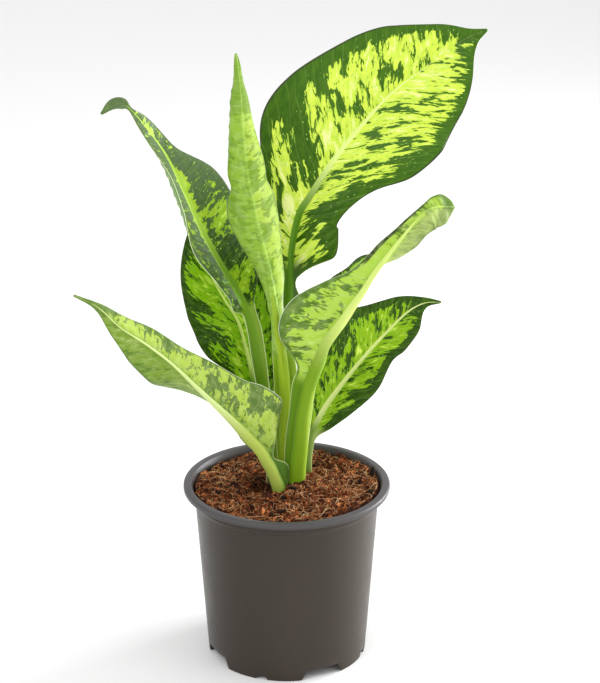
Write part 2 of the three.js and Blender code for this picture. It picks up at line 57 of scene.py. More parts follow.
# Each leaf is one closed skin, lofted along its rib from the foot of the stalk to the tip. A station holds
#   x, y, z of the rib,
#   the left half's width, lean and curl,
#   the right half's width, lean and curl,
#   the rib's half breadth and its depth behind the blade.
# A half runs from the rib along an arc of the given width. Its lean is the angle by which it swings towards
# the viewer, negative for away, and its curl is the angle through which the arc bends. Lengths are in
# millimetres and angles in degrees. face_seen is the face turned to the viewer, and wave is how far the
# margins wave, as a share of the half's width.
STATIONS = {
    "leaf_upper_right": {"face_seen": "upper", "wave": 0.05, "rows": [
        (0.5, 11, 94, 3.5, 0, 20, 3.5, 0, 20, 3.2, 4.6),
        (0.5, 11, 133.5, 3.5, 0, 20, 3.5, 0, 20, 3.1, 4.6),
        (1.5, 11.5, 164.5, 3.5, 0, 20, 3.5, 0, 20, 3, 4.4),
        (2, 12, 192, 3, 0, 20, 5, -20, 20, 2.7, 4.2),
        (2, 12.5, 211, 4, 0, 10, 7, -25, 10, 2.4, 4),
        (2.5, 13, 222.5, 4, 0, 0, 2.7, -20, 0, 2.2, 3.9),
        (2.5, 13, 229.5, 4, 8, 0, 7, 8, 0, 2.1, 3.8),
        (3, 14, 242.5, 8, 12, -10, 25, 12, -15, 2, 3.7),
        (7, 18, 261.5, 21, 14, -20, 24.6, 14, -20, 1.9, 3.3),
        (13.5, 22, 272, 33, 14, -25, 22.3, 14, -20, 1.8, 3.1),
        (25.5, 29, 289, 49.5, 14, -25, 29.5, 14, -25, 1.6, 2.7),
        (40, 36, 306, 49.5, 14, -25, 42.5, 14, -25, 1.4, 2.3),
        (59, 43, 325.5, 40.5, 13, -25, 44.5, 13, -25, 1.2, 1.8),
        (78.5, 47, 340, 29.5, 12, -20, 34.5, 12, -20, 1, 1.3),
        (93.5, 48, 351.5, 15.5, 10, -20, 21.5, 10, -20, 0.7, 1),
        (104, 47, 358, 4.5, 8, 0, 7, 8, 0, 0.6, 0.8),
        (112.5, 44, 362, 0.6, 0, 0, 0.6, 0, 0, 0.4, 0.5),
    ]},
    "leaf_centre_rolled": {"face_seen": "under", "wave": 0.02, "rows": [
        (0.5, 4, 94, 4.5, -20, -60, 4.5, -20, -60, 3.4, 4.6),
        (-0.5, 4, 123.5, 5.5, -20, -60, 5.5, -20, -60, 3.4, 4.6),
        (-1, 3, 143, 6, -20, -60, 6, -20, -60, 3.3, 4.6),
        (-1, 2, 162, 6.5, -20, -60, 8, -20, -60, 3.2, 4.4),
        (-2, 0, 178, 6, -20, -60, 8, -20, -60, 3, 4.2),
        (-3.5, -3, 191.5, 5, -20, -60, 5, -20, -60, 2.6, 3.8),
        (-5, -6, 204.5, 4.5, -40, -60, 5, -40, -60, 2.1, 3),
        (-7, -8, 217.5, 5.5, -50, -60, 8.5, -50, -50, 1.8, 2.6),
        (-8.5, -10, 230, 8, -45, -50, 11.5, -45, -50, 1.4, 1.6),
        (-11, -13, 244.5, 10.5, -35, -40, 13, -40, -50, 1.2, 0.8),
        (-14, -15, 257.5, 13.5, -25, -30, 16, -40, -50, 1.1, 0.5),
        (-17, -17, 272.5, 16, -20, -30, 17, -40, -50, 1, 0.4),
        (-18.5, -19, 282, 15, -30, -40, 15.5, -40, -50, 0.9, 0.4),
        (-20, -20, 288.5, 13, -40, -60, 14, -40, -50, 0.9, 0.4),
        (-21, -20.5, 295, 15.5, -45, -70, 14, -40, -50, 0.8, 0.4),
        (-22, -21, 305, 15.5, -50, -90, 13, -40, -60, 0.8, 0.4),
        (-23.5, -21, 322, 13, -55, -100, 9.5, -45, -60, 0.8, 0.4),
        (-24.5, -20, 338, 10.5, -60, -110, 7, -50, -60, 0.7, 0.4),
        (-25.5, -18, 351, 3.5, -50, -60, 3.5, -50, -60, 0.6, 0.6),
        (-26.5, -16, 362.5, 0.6, 0, 0, 0.6, 0, 0, 0.4, 0.5),
    ]},
    "leaf_upper_left": {"face_seen": "upper", "wave": 0.04, "rows": [
        (-8.5, 8, 94, 3.5, 10, 20, 3.5, 10, 20, 3.2, 4.6),
        (-8.5, 7.5, 128.5, 3.5, 10, 20, 3.5, 10, 20, 3.2, 4.6),
        (-12.5, 7, 154, 3.5, 10, 20, 3.5, 10, 20, 3.1, 4.6),
        (-16, 6, 179, 4, 10, 20, 4.5, -5, 20, 3, 4.6),
        (-19, 5, 197.5, 3.5, 10, 20, 5, -8, 20, 2.6, 4.4),
        (-22, 4.5, 208.5, 3.5, 20, 20, 5, -12, 10, 2.4, 4.2),
        (-24.5, 4, 214, 8, 35, 20, 8, -16, 0, 2.3, 4.1),
        (-29, 3, 222.5, 13, 65, 20, 18.5, -25, 0, 2.2, 3.9),
        (-36.5, 1.5, 236, 22, 75, 15, 27, -30, 0, 1.9, 3.5),
        (-47, 0, 257, 32, 76, 15, 29, -32, 0, 1.7, 2.9),
        (-56.5, -2, 281, 33, 84, 40, 24.5, -32, 0, 1.4, 2.3),
        (-65.5, -5, 302.5, 25, 84, 45, 8.5, -35, 0, 1.2, 1.8),
        (-74.5, -8, 317.5, 9, 64, 20, 8, -57, 0, 0.9, 1.2),
        (-83.3, -10.5, 329.6, 1.5, 30, 0, 1.4, -30, 0, 0.6, 0.8),
        (-88, -12, 334, 3.2, 20, 0, 3, 0, 0, 0.6, 0.8),
        (-93.5, -14, 334, 3, 15, 0, 2.8, 0, 0, 0.5, 0.7),
        (-99.5, -15, 329, 0.6, 0, 0, 0.6, 0, 0, 0.4, 0.5),
    ]},
    "leaf_middle_left": {"face_seen": "upper", "wave": 0.05, "rows": [
        (-7.5, 14.5, 94, 3, 10, 20, 3, 10, 20, 2.8, 4.2),
        (-14, 16, 137.5, 3.5, 10, 20, 4, 10, 20, 2.7, 4.2),
        (-18.5, 18, 152.5, 3, 10, 10, 11.5, 12, 0, 2.4, 3.9),
        (-20.5, 20, 166, 11, 14, -10, 16, 14, -10, 2.2, 3.5),
        (-24, 23, 181.5, 23.5, 15, -20, 20, 15, -20, 1.9, 3),
        (-28.5, 26, 196, 27, 15, -25, 24, 15, -25, 1.7, 2.6),
        (-36.5, 29, 208.5, 24.5, 15, -25, 25.5, 15, -25, 1.4, 2.2),
        (-43.5, 32, 221.5, 19, 14, -20, 23, 14, -20, 1.2, 1.8),
        (-47, 35, 235.5, 13.5, 12, -20, 17, 12, -20, 1, 1.4),
        (-48, 37, 250.5, 7, 10, -10, 9.5, 10, -10, 0.8, 1),
        (-46, 37, 265, 0.6, 0, 0, 0.6, 0, 0, 0.4, 0.5),
    ]},
    "leaf_lower_left": {"face_seen": "under", "wave": 0.05, "rows": [
        (-2, -9.5, 94, 4, -20, -40, 3.5, -20, -40, 3.4, 4.8),
        (-3.5, -10.5, 103.5, 4, -20, -40, 4, -20, -40, 3.4, 4.8),
        (-7, -12, 115.5, 4, -20, -40, 10, -22, -40, 3.2, 4.6),
        (-11, -13.5, 124.5, 4, -20, -40, 4.2, -20, -30, 3.1, 4.5),
        (-15.5, -15, 133, 4, -35, -20, 13.5, -12, -10, 2.9, 4.3),
        (-22.5, -18, 143, 14, -75, 0, 27.5, -8, -10, 2.3, 3.6),
        (-29, -21, 152, 20, -80, 0, 26, -8, -12, 1.9, 3),
        (-36.5, -25, 161.5, 22, -78, 0, 21, -12, -12, 1.5, 2.3),
        (-49, -34, 178, 23, -54, 0, 16.5, -16, -12, 1, 1.3),
        (-62, -45, 196, 18, -24, -12, 11, -20, -10, 0.8, 1),
        (-75, -56, 211.5, 14, -18, -12, 10, -28, 0, 0.7, 0.8),
        (-88, -64, 224, 7, -15, -10, 7, -28, 0, 0.6, 0.7),
        (-96.5, -69, 235, 3, -15, 0, 3.5, -20, 0, 0.7, 0.8),
        (-102.5, -72, 241, 1.5, 0, 0, 1.5, 0, 0, 0.5, 0.7),
        (-111.5, -75, 246.5, 0.6, 0, 0, 0.6, 0, 0, 0.4, 0.5),
    ]},
    "leaf_front_right": {"face_seen": "under", "wave": 0.03, "rows": [
        (5.5, -4.5, 94, 5, -30, -60, 4.5, -30, -60, 3.8, 5.2),
        (6, -6, 115.5, 8.5, -30, -60, 5, -30, -60, 3.9, 5.2),
        (7.5, -7, 131.5, 10, -30, -70, 5.5, -30, -70, 3.8, 5.2),
        (9, -9, 151, 9, -30, -70, 6.5, -35, -70, 3.5, 5),
        (11.5, -11, 167, 10, -26, -60, 7, -50, -60, 3.1, 4.7),
        (14.5, -13, 177.5, 9.5, -15, -20, 10, -70, 0, 2.9, 4.5),
        (17.5, -15, 186, 20, -8, -8, 15, -95, 0, 2.6, 4.2),
        (22, -19, 199.5, 29, -5, -12, 18.5, -122, 0, 2.4, 3.8),
        (30, -23, 213, 26.5, -5, -14, 22, -144, 0, 2.1, 3.4),
        (36.5, -26, 224, 20.5, -8, -14, 22, -143, 0, 1.9, 2.8),
        (43, -28, 234.5, 13, -12, -12, 17.5, -142, -20, 1.6, 2.1),
        (49, -30, 245, 9.4, -18, -10, 18, -120, -90, 1.3, 1.5),
        (56, -31, 255, 8.5, -22, -10, 11, -54, -50, 1.1, 1.2),
        (62.5, -31.5, 264, 6.3, -22, -10, 11.5, -34, -10, 0.9, 1),
        (68.5, -31, 271.5, 5, -22, -10, 11, -28, 0, 0.8, 0.9),
        (73.5, -30, 277, 4, -20, -10, 12.5, -26, 0, 0.8, 0.8),
        (77.5, -28.5, 279.7, 4.3, -18, -10, 12.2, -22, 0, 0.7, 0.8),
        (81.3, -26, 280.1, 6.2, -16, 0, 12.2, -18, 0, 0.7, 0.7),
        (85.3, -23.5, 279.5, 7, -12, 0, 11.2, -14, 0, 0.6, 0.6),
        (89.3, -20.5, 278.4, 4.5, -8, 0, 8.1, -8, 0, 0.6, 0.6),
        (92, -18.3, 277.3, 0.6, 0, 0, 0.6, 0, 0, 0.4, 0.5),
    ]},
    "leaf_lower_right": {"face_seen": "upper", "wave": 0.05, "rows": [
        (12.5, 5, 94, 3, 0, 20, 3, 0, 20, 2.4, 3.8),
        (12, 5, 110.5, 2.5, 0, 20, 2.5, 0, 20, 2.3, 3.8),
        (12.5, 6.5, 121.5, 2.5, 0, 20, 2.5, 0, 20, 2.2, 3.6),
        (14, 9, 130.5, 3, 0, 20, 3.5, 0, 20, 2, 3.4),
        (18, 12, 139, 7, 10, 0, 9.5, 10, 0, 1.9, 3.2),
        (25, 17, 149.5, 17, 15, -15, 15, 15, -15, 1.7, 2.8),
        (38, 25, 164.5, 25.5, 16, -22, 19, 16, -22, 1.5, 2.3),
        (50.5, 33, 177, 28.5, 16, -22, 14.5, 16, -22, 1.3, 1.9),
        (58.5, 37, 184.5, 22, 15, -20, 15.5, 15, -20, 1.1, 1.6),
        (70, 41, 195, 12, 12, -20, 12.5, 12, -20, 0.9, 1.2),
        (80, 42, 200.5, 4, 10, 0, 3.5, 10, 0, 0.6, 0.9),
        (90, 40, 202, 0.6, 0, 0, 0.6, 0, 0, 0.4, 0.5),
    ]},
}

# How each leaf looks. Colours are red, green and blue from 0 to 255, and an arc is a length in millimetres
# along the rib from the start of the blade. One colour in the place of a pair stands for both.
#   blade_from: the station at which the stalk becomes the blade
#   bright, deep: the pale and dark colours of the upper face, each low on the blade and high on it
#   cream: the colour of its palest places
#   under_light, under_dark: the pale and dark colours of the underside, each on the left and the right half
#   stalk: the stalk's colours on its left, in its middle and on its right, with painted light and shade
#       across it
#   foot, edge: the colours of the stalk near the mix and of the thin edge along the stalk
#   rib, rib_turns: the rib's colour, and the arcs between which the stalk's middle colour goes over to it
#   rib_breadth: pairs of an arc and the coloured rib's breadth there, as a share of the rib's own breadth
#   slant: how far the side veins run towards the tip per millimetre from the rib, on the left and the right
#   squeeze: how many times shorter the blotches are along the side veins
#   crispness: how strongly the underside is mottled, low on the blade and high on it, 1 if it isn't given
#   base: how pale both faces are beside the rib
#   reach: the share of each half's width, left and right, at which that paleness has gone
#   turned_margin: two arcs and a share of the width. Between the arcs, the left half's margin beyond that
#     share is painted in the dark colour of an upper face, as if it were turned over
#   zones: places with more or less paleness, as (vein, share, vein_reach, share_reach, amount). The vein is
#     the arc at which the side vein through the place leaves the rib, and the share runs from -1 at the left
#     margin to 1 at the right one
LOOKS = {
    "leaf_upper_right": {
        "blade_from": 7, "bright": (220, 240, 86), "deep": [(48, 86, 4), (60, 100, 22)],
        "cream": (242, 250, 160),
        "under_light": (190, 215, 110), "under_dark": (110, 145, 70),
        "stalk": [(84, 128, 28), (98, 146, 36), (74, 104, 44)], "foot": (126, 150, 46),
        "edge": (196, 214, 128),
        "rib": (232, 247, 153), "rib_turns": (18, 62),
        "rib_breadth": [(0, 1.0), (30, 1.0), (60, 0.95), (90, 0.7), (120, 0.35), (142, 0.05)],
        "slant": (0.6, 1.0), "squeeze": 1.0, "base": 0.5, "reach": (0.8, 0.84),
        "zones": [
            (40, -0.5, 8, 0.6, -1.6), (60, -0.68, 5, 0.18, -1.1), (72, -0.36, 4, 0.12, -1.2),
            (83, -0.2, 5, 0.1, -1.0), (102, -0.28, 5, 0.14, -1.1), (113, -0.18, 4, 0.1, -0.9),
            (92, 0.28, 3, 0.22, -1.1), (75, 0.18, 4, 0.14, -1.1), (62, 0.36, 3, 0.16, -0.9),
            (48, 0.3, 4, 0.18, -1.0), (134, 0.12, 5, 0.12, -0.6), (13, -0.82, 8, 0.2, 0.7),
            (17, -0.28, 6, 0.2, 1.0), (26, -0.38, 3, 0.1, -1.7), (13, -0.58, 3.5, 0.12, -1.6),
            (8, -0.95, 30, 0.12, -0.6), (17, 0.7, 8, 0.6, -1.3), (-6, 0.75, 20, 0.5, -1.3),
            (3, 0.6, 4, 0.12, 1.3), (-9, 0.45, 5, 0.2, 1.2), (45, 0.7, 20, 0.2, -0.4),
            (95, 0.65, 25, 0.2, -0.3),
        ],
    },
    "leaf_centre_rolled": {
        "blade_from": 5, "bright": (200, 230, 80), "deep": (70, 108, 40), "cream": (236, 246, 150),
        "under_light": [(146, 184, 60), (168, 196, 72)], "under_dark": [(118, 158, 44), (116, 150, 42)],
        "stalk": [(124, 160, 22), (152, 180, 40), (132, 164, 34)], "foot": (133, 159, 24),
        "edge": (214, 226, 150),
        # The rib is painted darker than the halves beside it: painted shade that dulls the highlight on the
        # rib's ridge.
        "rib": (138, 172, 58), "rib_turns": (0, 53), "rib_breadth": [(0, 0.6), (27, 0.15), (37, 0.02)],
        "slant": (0.1, 0.1), "squeeze": 1.0, "crispness": (0.7, 0.5), "base": 0.1, "reach": (1.3, 1.3),
        "turned_margin": (148, 158, 0.6),
        "zones": [
            (106, 0.3, 9, 0.25, -0.9), (49, 0.2, 7, 0.2, -0.9), (77, 0.4, 8, 0.2, -0.5),
            (153, 0.2, 14, 0.8, -0.5),
        ],
    },
    "leaf_upper_left": {
        # The dark colour high on the blade is greyer and paler than low down: a painted sheen.
        "blade_from": 6, "bright": [(128, 160, 12), (190, 220, 64)], "deep": [(34, 62, 2), (90, 112, 72)],
        "cream": (186, 222, 84),
        "under_light": (170, 200, 96), "under_dark": (100, 140, 66),
        "stalk": [(96, 132, 22), (104, 146, 28), (128, 160, 50)], "foot": (96, 126, 30),
        "edge": (206, 220, 160),
        "rib": (190, 225, 90), "rib_turns": (16, 70),
        "rib_breadth": [(0, 1.0), (50, 1.2), (100, 0.6), (128, 0.3), (138, 0.05)],
        "slant": (0.6, 0.2), "squeeze": 1.25, "base": -0.6, "reach": (0.8, 0.8),
        "zones": [
            (116, 0.1, 8, 0.25, 1.0), (82, 0.1, 12, 0.14, 1.4), (46, 0.45, 13, 0.5, 0.85),
            (28, 0.4, 5, 0.5, -0.6), (9, 0.4, 7, 0.4, 0.95), (60, 0.04, 26, 0.08, 1.2),
            (84, 0.6, 14, 0.4, -0.5),
        ],
    },
    "leaf_middle_left": {
        "blade_from": 3, "bright": (132, 180, 10), "deep": [(36, 66, 2), (40, 70, 6)],
        "cream": (190, 222, 70),
        "under_light": (180, 210, 100), "under_dark": (105, 140, 68),
        "stalk": [(90, 132, 28), (100, 146, 32), (120, 160, 50)], "foot": (86, 124, 24),
        "edge": (190, 210, 120),
        "rib": (216, 234, 130), "rib_turns": (-8, 8), "rib_breadth": [(0, 0.55), (100, 0.4)],
        "slant": (1.2, 0.8), "squeeze": 1.9, "base": 0.5, "reach": (0.84, 0.86),
        "zones": [
            (32, -0.62, 4, 0.25, -1.3), (7, -0.6, 5, 0.25, -1.4), (16, -0.62, 5, 0.2, -0.6),
            (40, 0.4, 3, 0.15, -0.8),
        ],
    },
    "leaf_lower_left": {
        "blade_from": 4, "bright": (160, 200, 60), "deep": (50, 78, 24), "cream": (220, 236, 120),
        "under_light": [(118, 150, 44), (174, 200, 76)], "under_dark": [(92, 126, 36), (92, 120, 52)],
        "stalk": [(158, 182, 84), (174, 192, 84), (90, 128, 42)], "foot": (104, 146, 34),
        "edge": (214, 226, 160),
        "rib": (212, 230, 150), "rib_turns": (4, 50),
        "rib_breadth": [(-10, 1.0), (24, 0.6), (50, 0.42), (90, 0.28), (125, 0.08)],
        "slant": (0.6, 0.3), "squeeze": 1.5, "crispness": (1.1, 0.7), "base": 0.3, "reach": (0.9, 1.0),
        "zones": [
            (91, 0.67, 8, 0.3, -0.9), (48, 0.5, 7, 0.3, -0.8), (18, 0.62, 8, 0.3, -0.8),
            (108, -0.2, 30, 0.5, 0.2),
        ],
    },
    "leaf_front_right": {
        "blade_from": 5, "bright": (160, 200, 60), "deep": (60, 84, 30), "cream": (220, 236, 130),
        "under_light": [(170, 206, 68), (162, 182, 96)], "under_dark": [(84, 118, 34), (128, 148, 80)],
        "stalk": [(96, 136, 18), (118, 154, 26), (146, 172, 48)], "foot": (106, 156, 18),
        "edge": (206, 222, 150),
        "rib": (206, 226, 122), "rib_turns": (0, 50),
        "rib_breadth": [(-10, 0.95), (30, 0.7), (62, 0.5), (80, 0.42), (104, 0.3), (116, 0.03)],
        "slant": (-0.45, 0.5), "squeeze": 0.9, "crispness": (0.9, 0.3), "base": 0.3, "reach": (0.86, 0.9),
        "turned_margin": (77, 122, 0.72),
        "zones": [
            (34, -0.45, 6, 0.3, -0.6), (80, -0.45, 12, 0.6, 0.7), (65, -0.4, 8, 0.3, -0.5),
            (117, -0.4, 22, 1.2, -0.3), (17, -0.5, 6, 0.3, -0.4),
        ],
    },
    "leaf_lower_right": {
        "blade_from": 4, "bright": (138, 176, 16), "deep": [(38, 68, 2), (42, 72, 14)],
        "cream": (210, 232, 96),
        "under_light": (180, 210, 100), "under_dark": (105, 140, 68),
        "stalk": [(108, 140, 48), (130, 160, 70), (172, 192, 112)], "foot": (112, 140, 47),
        "edge": (190, 206, 130),
        "rib": (218, 230, 150), "rib_turns": (-8, 6), "rib_breadth": [(0, 0.85), (80, 0.7), (105, 0.2)],
        "slant": (0.9, 1.1), "squeeze": 1.5, "base": 0.4, "reach": (0.72, 0.72),
        "zones": [
            (28, -0.68, 4, 0.25, -1.0), (33, -0.28, 3.5, 0.15, -1.1), (59, 0.25, 4, 0.12, -0.8),
            (48, 0.25, 3, 0.12, -0.8), (31, 0.3, 5, 0.2, -1.0), (14, 0.57, 4, 0.2, -1.1),
        ],
    },
}

# Margin waves: turns per station, and how far the left half's wave runs ahead of the right half's
WAVE_TURNS = 0.45
WAVE_OFFSET = 1.9

# A leaf's thickness, the columns of each half on the rib and beside it, and the distance between sections
BLADE_THICKNESS = 0.9
MARGIN_THICKNESS = 0.3
RIB_COLUMNS = 7
BLADE_COLUMNS = 24
STALK_SPACING = 2.5
BLADE_SPACING = 1.1

# The rib is broader on the blade by this share of its breadth, and takes up at most this share of a half
RIB_FLARE = 0.35
RIB_LIMIT = 0.85

# The least width of a half in millimetres and the least curl in degrees, so that every section is an arc
LEAST_WIDTH = 0.5
LEAST_CURL = 0.1

# The stations, counted from the start of the blade, between which the stalk turns into a thin, quilted blade
# and the stalk's colours give way to the mottling
BLADE_GROWS = (-0.7, 1.2)
MOTTLING_GROWS = (-0.9, -0.1)

# Side veins leave the rib at the leaf's own slant, bend on towards the tip and stand this far apart
VEIN_BEND = 0.003
VEIN_GAP = 7.0

# The blade's relief between and along the side veins, and the depth of the channel above the rib as a share
# of the rib's own
QUILT_HEIGHT = 0.14
FURROW_DEPTH = 0.2
FURROW_BREADTH = 0.8
CHANNEL_DEPTH = 0.16

# How much paleness the margin and the tip lose
MARGIN_DARKNESS = 1.3
TIP_DARKNESS = 1.2

# The heights between which the foot's colour gives way to the stalk's, and its greatest share
FOOT_HEIGHTS = (102, 116)
FOOT_SHARE = 0.6

# The arcs between which a leaf's low colours go over to its high ones
HIGH_UP = (20, 90)

# The colour painted on a margin that stands for a turned-over one, and how far it fades in and out along the
# rib and across the half
TURNED_COLOUR = (44, 58, 26)
TURNED_START = 4
TURNED_END = 6
TURNED_EDGE = 0.04

# How far apart in the UV map two leaves lie, along the veins' coordinate and across it, so that no two have
# the same blotches
UV_APART = (400, 150)

# The pot, a 12 cm nursery pot
POT_HEIGHT = 106
RIM_RADIUS = 60
RIM_INNER_RADIUS = 55.4
RIM_BAND = 3.6
WALL = 1.2
WALL_RADIUS_TOP = 53.3
WALL_RADIUS_FOOT = 46.5
SHOULDER_HEIGHT = 96
COLLAR = {"out": 1.7, "up": 1.6, "height": 4}
FLOOR_HEIGHT = 7
FOOT_DISC_RADIUS = 15
POT_SEGMENTS = 384
CORNER_POINTS = 5
WIDE_NOTCH = {"count": 4, "first": 27, "width": 32, "height": 6, "slope": 3}
SMALL_NOTCH = {"count": 4, "first": 72, "width": 8, "height": 2.6, "slope": 0.8}
DRAIN_HOLE = {"count": 6, "radius": 4, "circle": 30}

# The mix, how far it stays off the pot, and the height at which the stalks come out of it
SOIL_LEVEL = 104
SOIL_RADIUS = 53.5
SOIL_RINGS = 130
SOIL_SEGMENTS = 320
CLEARANCE = 0.45
STALK_LEVEL = 107

# The mix's roughness: the size of its clods, grains and pits, their height and their seed
ROUGHNESS = [(6.5, 2.6, 11), (3.1, 1.9, 12), (1.5, 1.3, 13), (0.8, 0.7, 14)]

# Loose pieces on the mix: the sizes are the least and the greatest breadth, and stretch is how much longer
# than broad a crumb may be. The fibres arch up to their lift above the mix.
CRUMBS = {
    "mix_grains": {"seed": 21, "count": 6500, "sizes": (0.7, 1.9), "stretch": 0.9},
    "mix_chips": {"seed": 22, "count": 260, "sizes": (2.0, 4.2), "stretch": 1.4},
}
FIBRES = {"seed": 31, "count": 3900, "lengths": (3, 15), "radii": (0.05, 0.13), "lift": 1.6}

# Colours of crumbs and fibres along their tint, from the darkest to the palest
HUSK_TINTS = [(0.0, (18, 8, 4)), (0.4, (66, 32, 15)), (0.75, (132, 66, 31)), (1.0, (216, 134, 80))]
FIBRE_TINTS = [(0.0, (74, 36, 17)), (0.45, (150, 84, 42)), (0.65, (206, 138, 84)), (1.0, (248, 212, 162))]

# The camera stands where the photograph was taken from
CAMERA_PLACE = (0.0077, -1.168, 0.631)
CAMERA_PITCH = math.radians(20.58)
CAMERA_LENS = 115.96

# Each light's place and side in metres and its power in watts, and the height in metres that all aim at
LIGHTS = {
    "key": ((-0.9, -1.1, 1.5), 0.9, 9),
    "fill": ((1.2, -0.6, 0.9), 0.8, 3),
    "right_edge": ((1.0, 0.45, 0.35), 0.7, 19),
}
LIGHTS_AIM = 0.2
SURROUND_STRENGTH = 0.9

# Half the side of the floor in millimetres
FLOOR_REACH = 6000


# Small helpers


def srgb(red, green, blue):
    """A colour given as 0 to 255 on a screen, as the linear values that a shader wants, with full alpha."""
    share = np.array([red, green, blue]) / 255
    linear = np.where(share <= 0.04045, share / 12.92, ((share + 0.055) / 1.055) ** 2.4)
    return (*linear.tolist(), 1.0)


def unit(vectors):
    """Each vector divided by its length."""
    return vectors / np.linalg.norm(vectors, axis=-1, keepdims=True)


def smooth_step(values, start, end):
    """0 before start, 1 after end and 3t^2 - 2t^3 between them. The end may lie below the start."""
    t = np.clip((values - start) / (end - start), 0, 1)
    return t * t * (3 - 2 * t)


def value_noise(x, y, cell, seed):
    """A smooth random field from 0 to 1: random heights on a square lattice, blended by a cubic step."""
    lattice = np.random.default_rng(seed).random((256, 256))
    across = x / cell + 128
    up = y / cell + 128
    i = np.floor(across).astype(int)
    j = np.floor(up).astype(int)
    s = smooth_step(across - i, 0, 1)
    t = smooth_step(up - j, 0, 1)
    near = lattice[i % 256, j % 256] * (1 - s) + lattice[(i + 1) % 256, j % 256] * s
    far = lattice[i % 256, (j + 1) % 256] * (1 - s) + lattice[(i + 1) % 256, (j + 1) % 256] * s
    return near * (1 - t) + far * t


def new_piece(name, points, faces, materials, face_materials=None, attributes=None, uv=None):
    """An object at the origin from points in millimetres and faces as index rows, shaded smooth."""
    mesh = bpy.data.meshes.new(name)
    mesh.from_pydata((points * MM).tolist(), [], faces)
    for material in materials:
        mesh.materials.append(material)
    mesh.polygons.foreach_set("use_smooth", np.ones(len(mesh.polygons), dtype=bool))
    if face_materials is not None:
        mesh.polygons.foreach_set("material_index", face_materials.astype(np.int32))
    for key, values in (attributes or {}).items():
        kind, field = ("FLOAT", "value") if values.ndim == 1 else ("FLOAT_COLOR", "color")
        layer = mesh.attributes.new(key, kind, "POINT")
        layer.data.foreach_set(field, values.astype(np.float32).ravel())
    if uv is not None:
        corners = np.empty(len(mesh.loops), dtype=np.int32)
        mesh.loops.foreach_get("vertex_index", corners)
        mesh.uv_layers.new(name="UVMap").data.foreach_set("uv", uv[corners].astype(np.float32).ravel())
    mesh.validate()
    mesh.update()
    piece = bpy.data.objects.new(name, mesh)
    bpy.context.collection.objects.link(piece)
    return piece


def weld(piece):
    """Joins points that lie in the same place and turns all faces outwards."""
    work = bmesh.new()
    work.from_mesh(piece.data)
    bmesh.ops.remove_doubles(work, verts=work.verts, dist=WELD_DISTANCE * MM)
    bmesh.ops.recalc_face_normals(work, faces=work.faces)
    work.to_mesh(piece.data)
    work.free()


def grid_faces(rows, columns, first=0, closed=False, flip=False):
    """Quads between the points of a grid that is stored row by row. The last column of a closed grid joins
    its first."""
    i, j = np.meshgrid(np.arange(rows - 1), np.arange(columns if closed else columns - 1), indexing="ij")
    here = first + i * columns
    above = here + columns
    after = (j + 1) % columns
    quads = np.stack([here + j, here + after, above + after, above + j], -1).reshape(-1, 4)
    return quads[:, ::-1] if flip else quads


# Materials


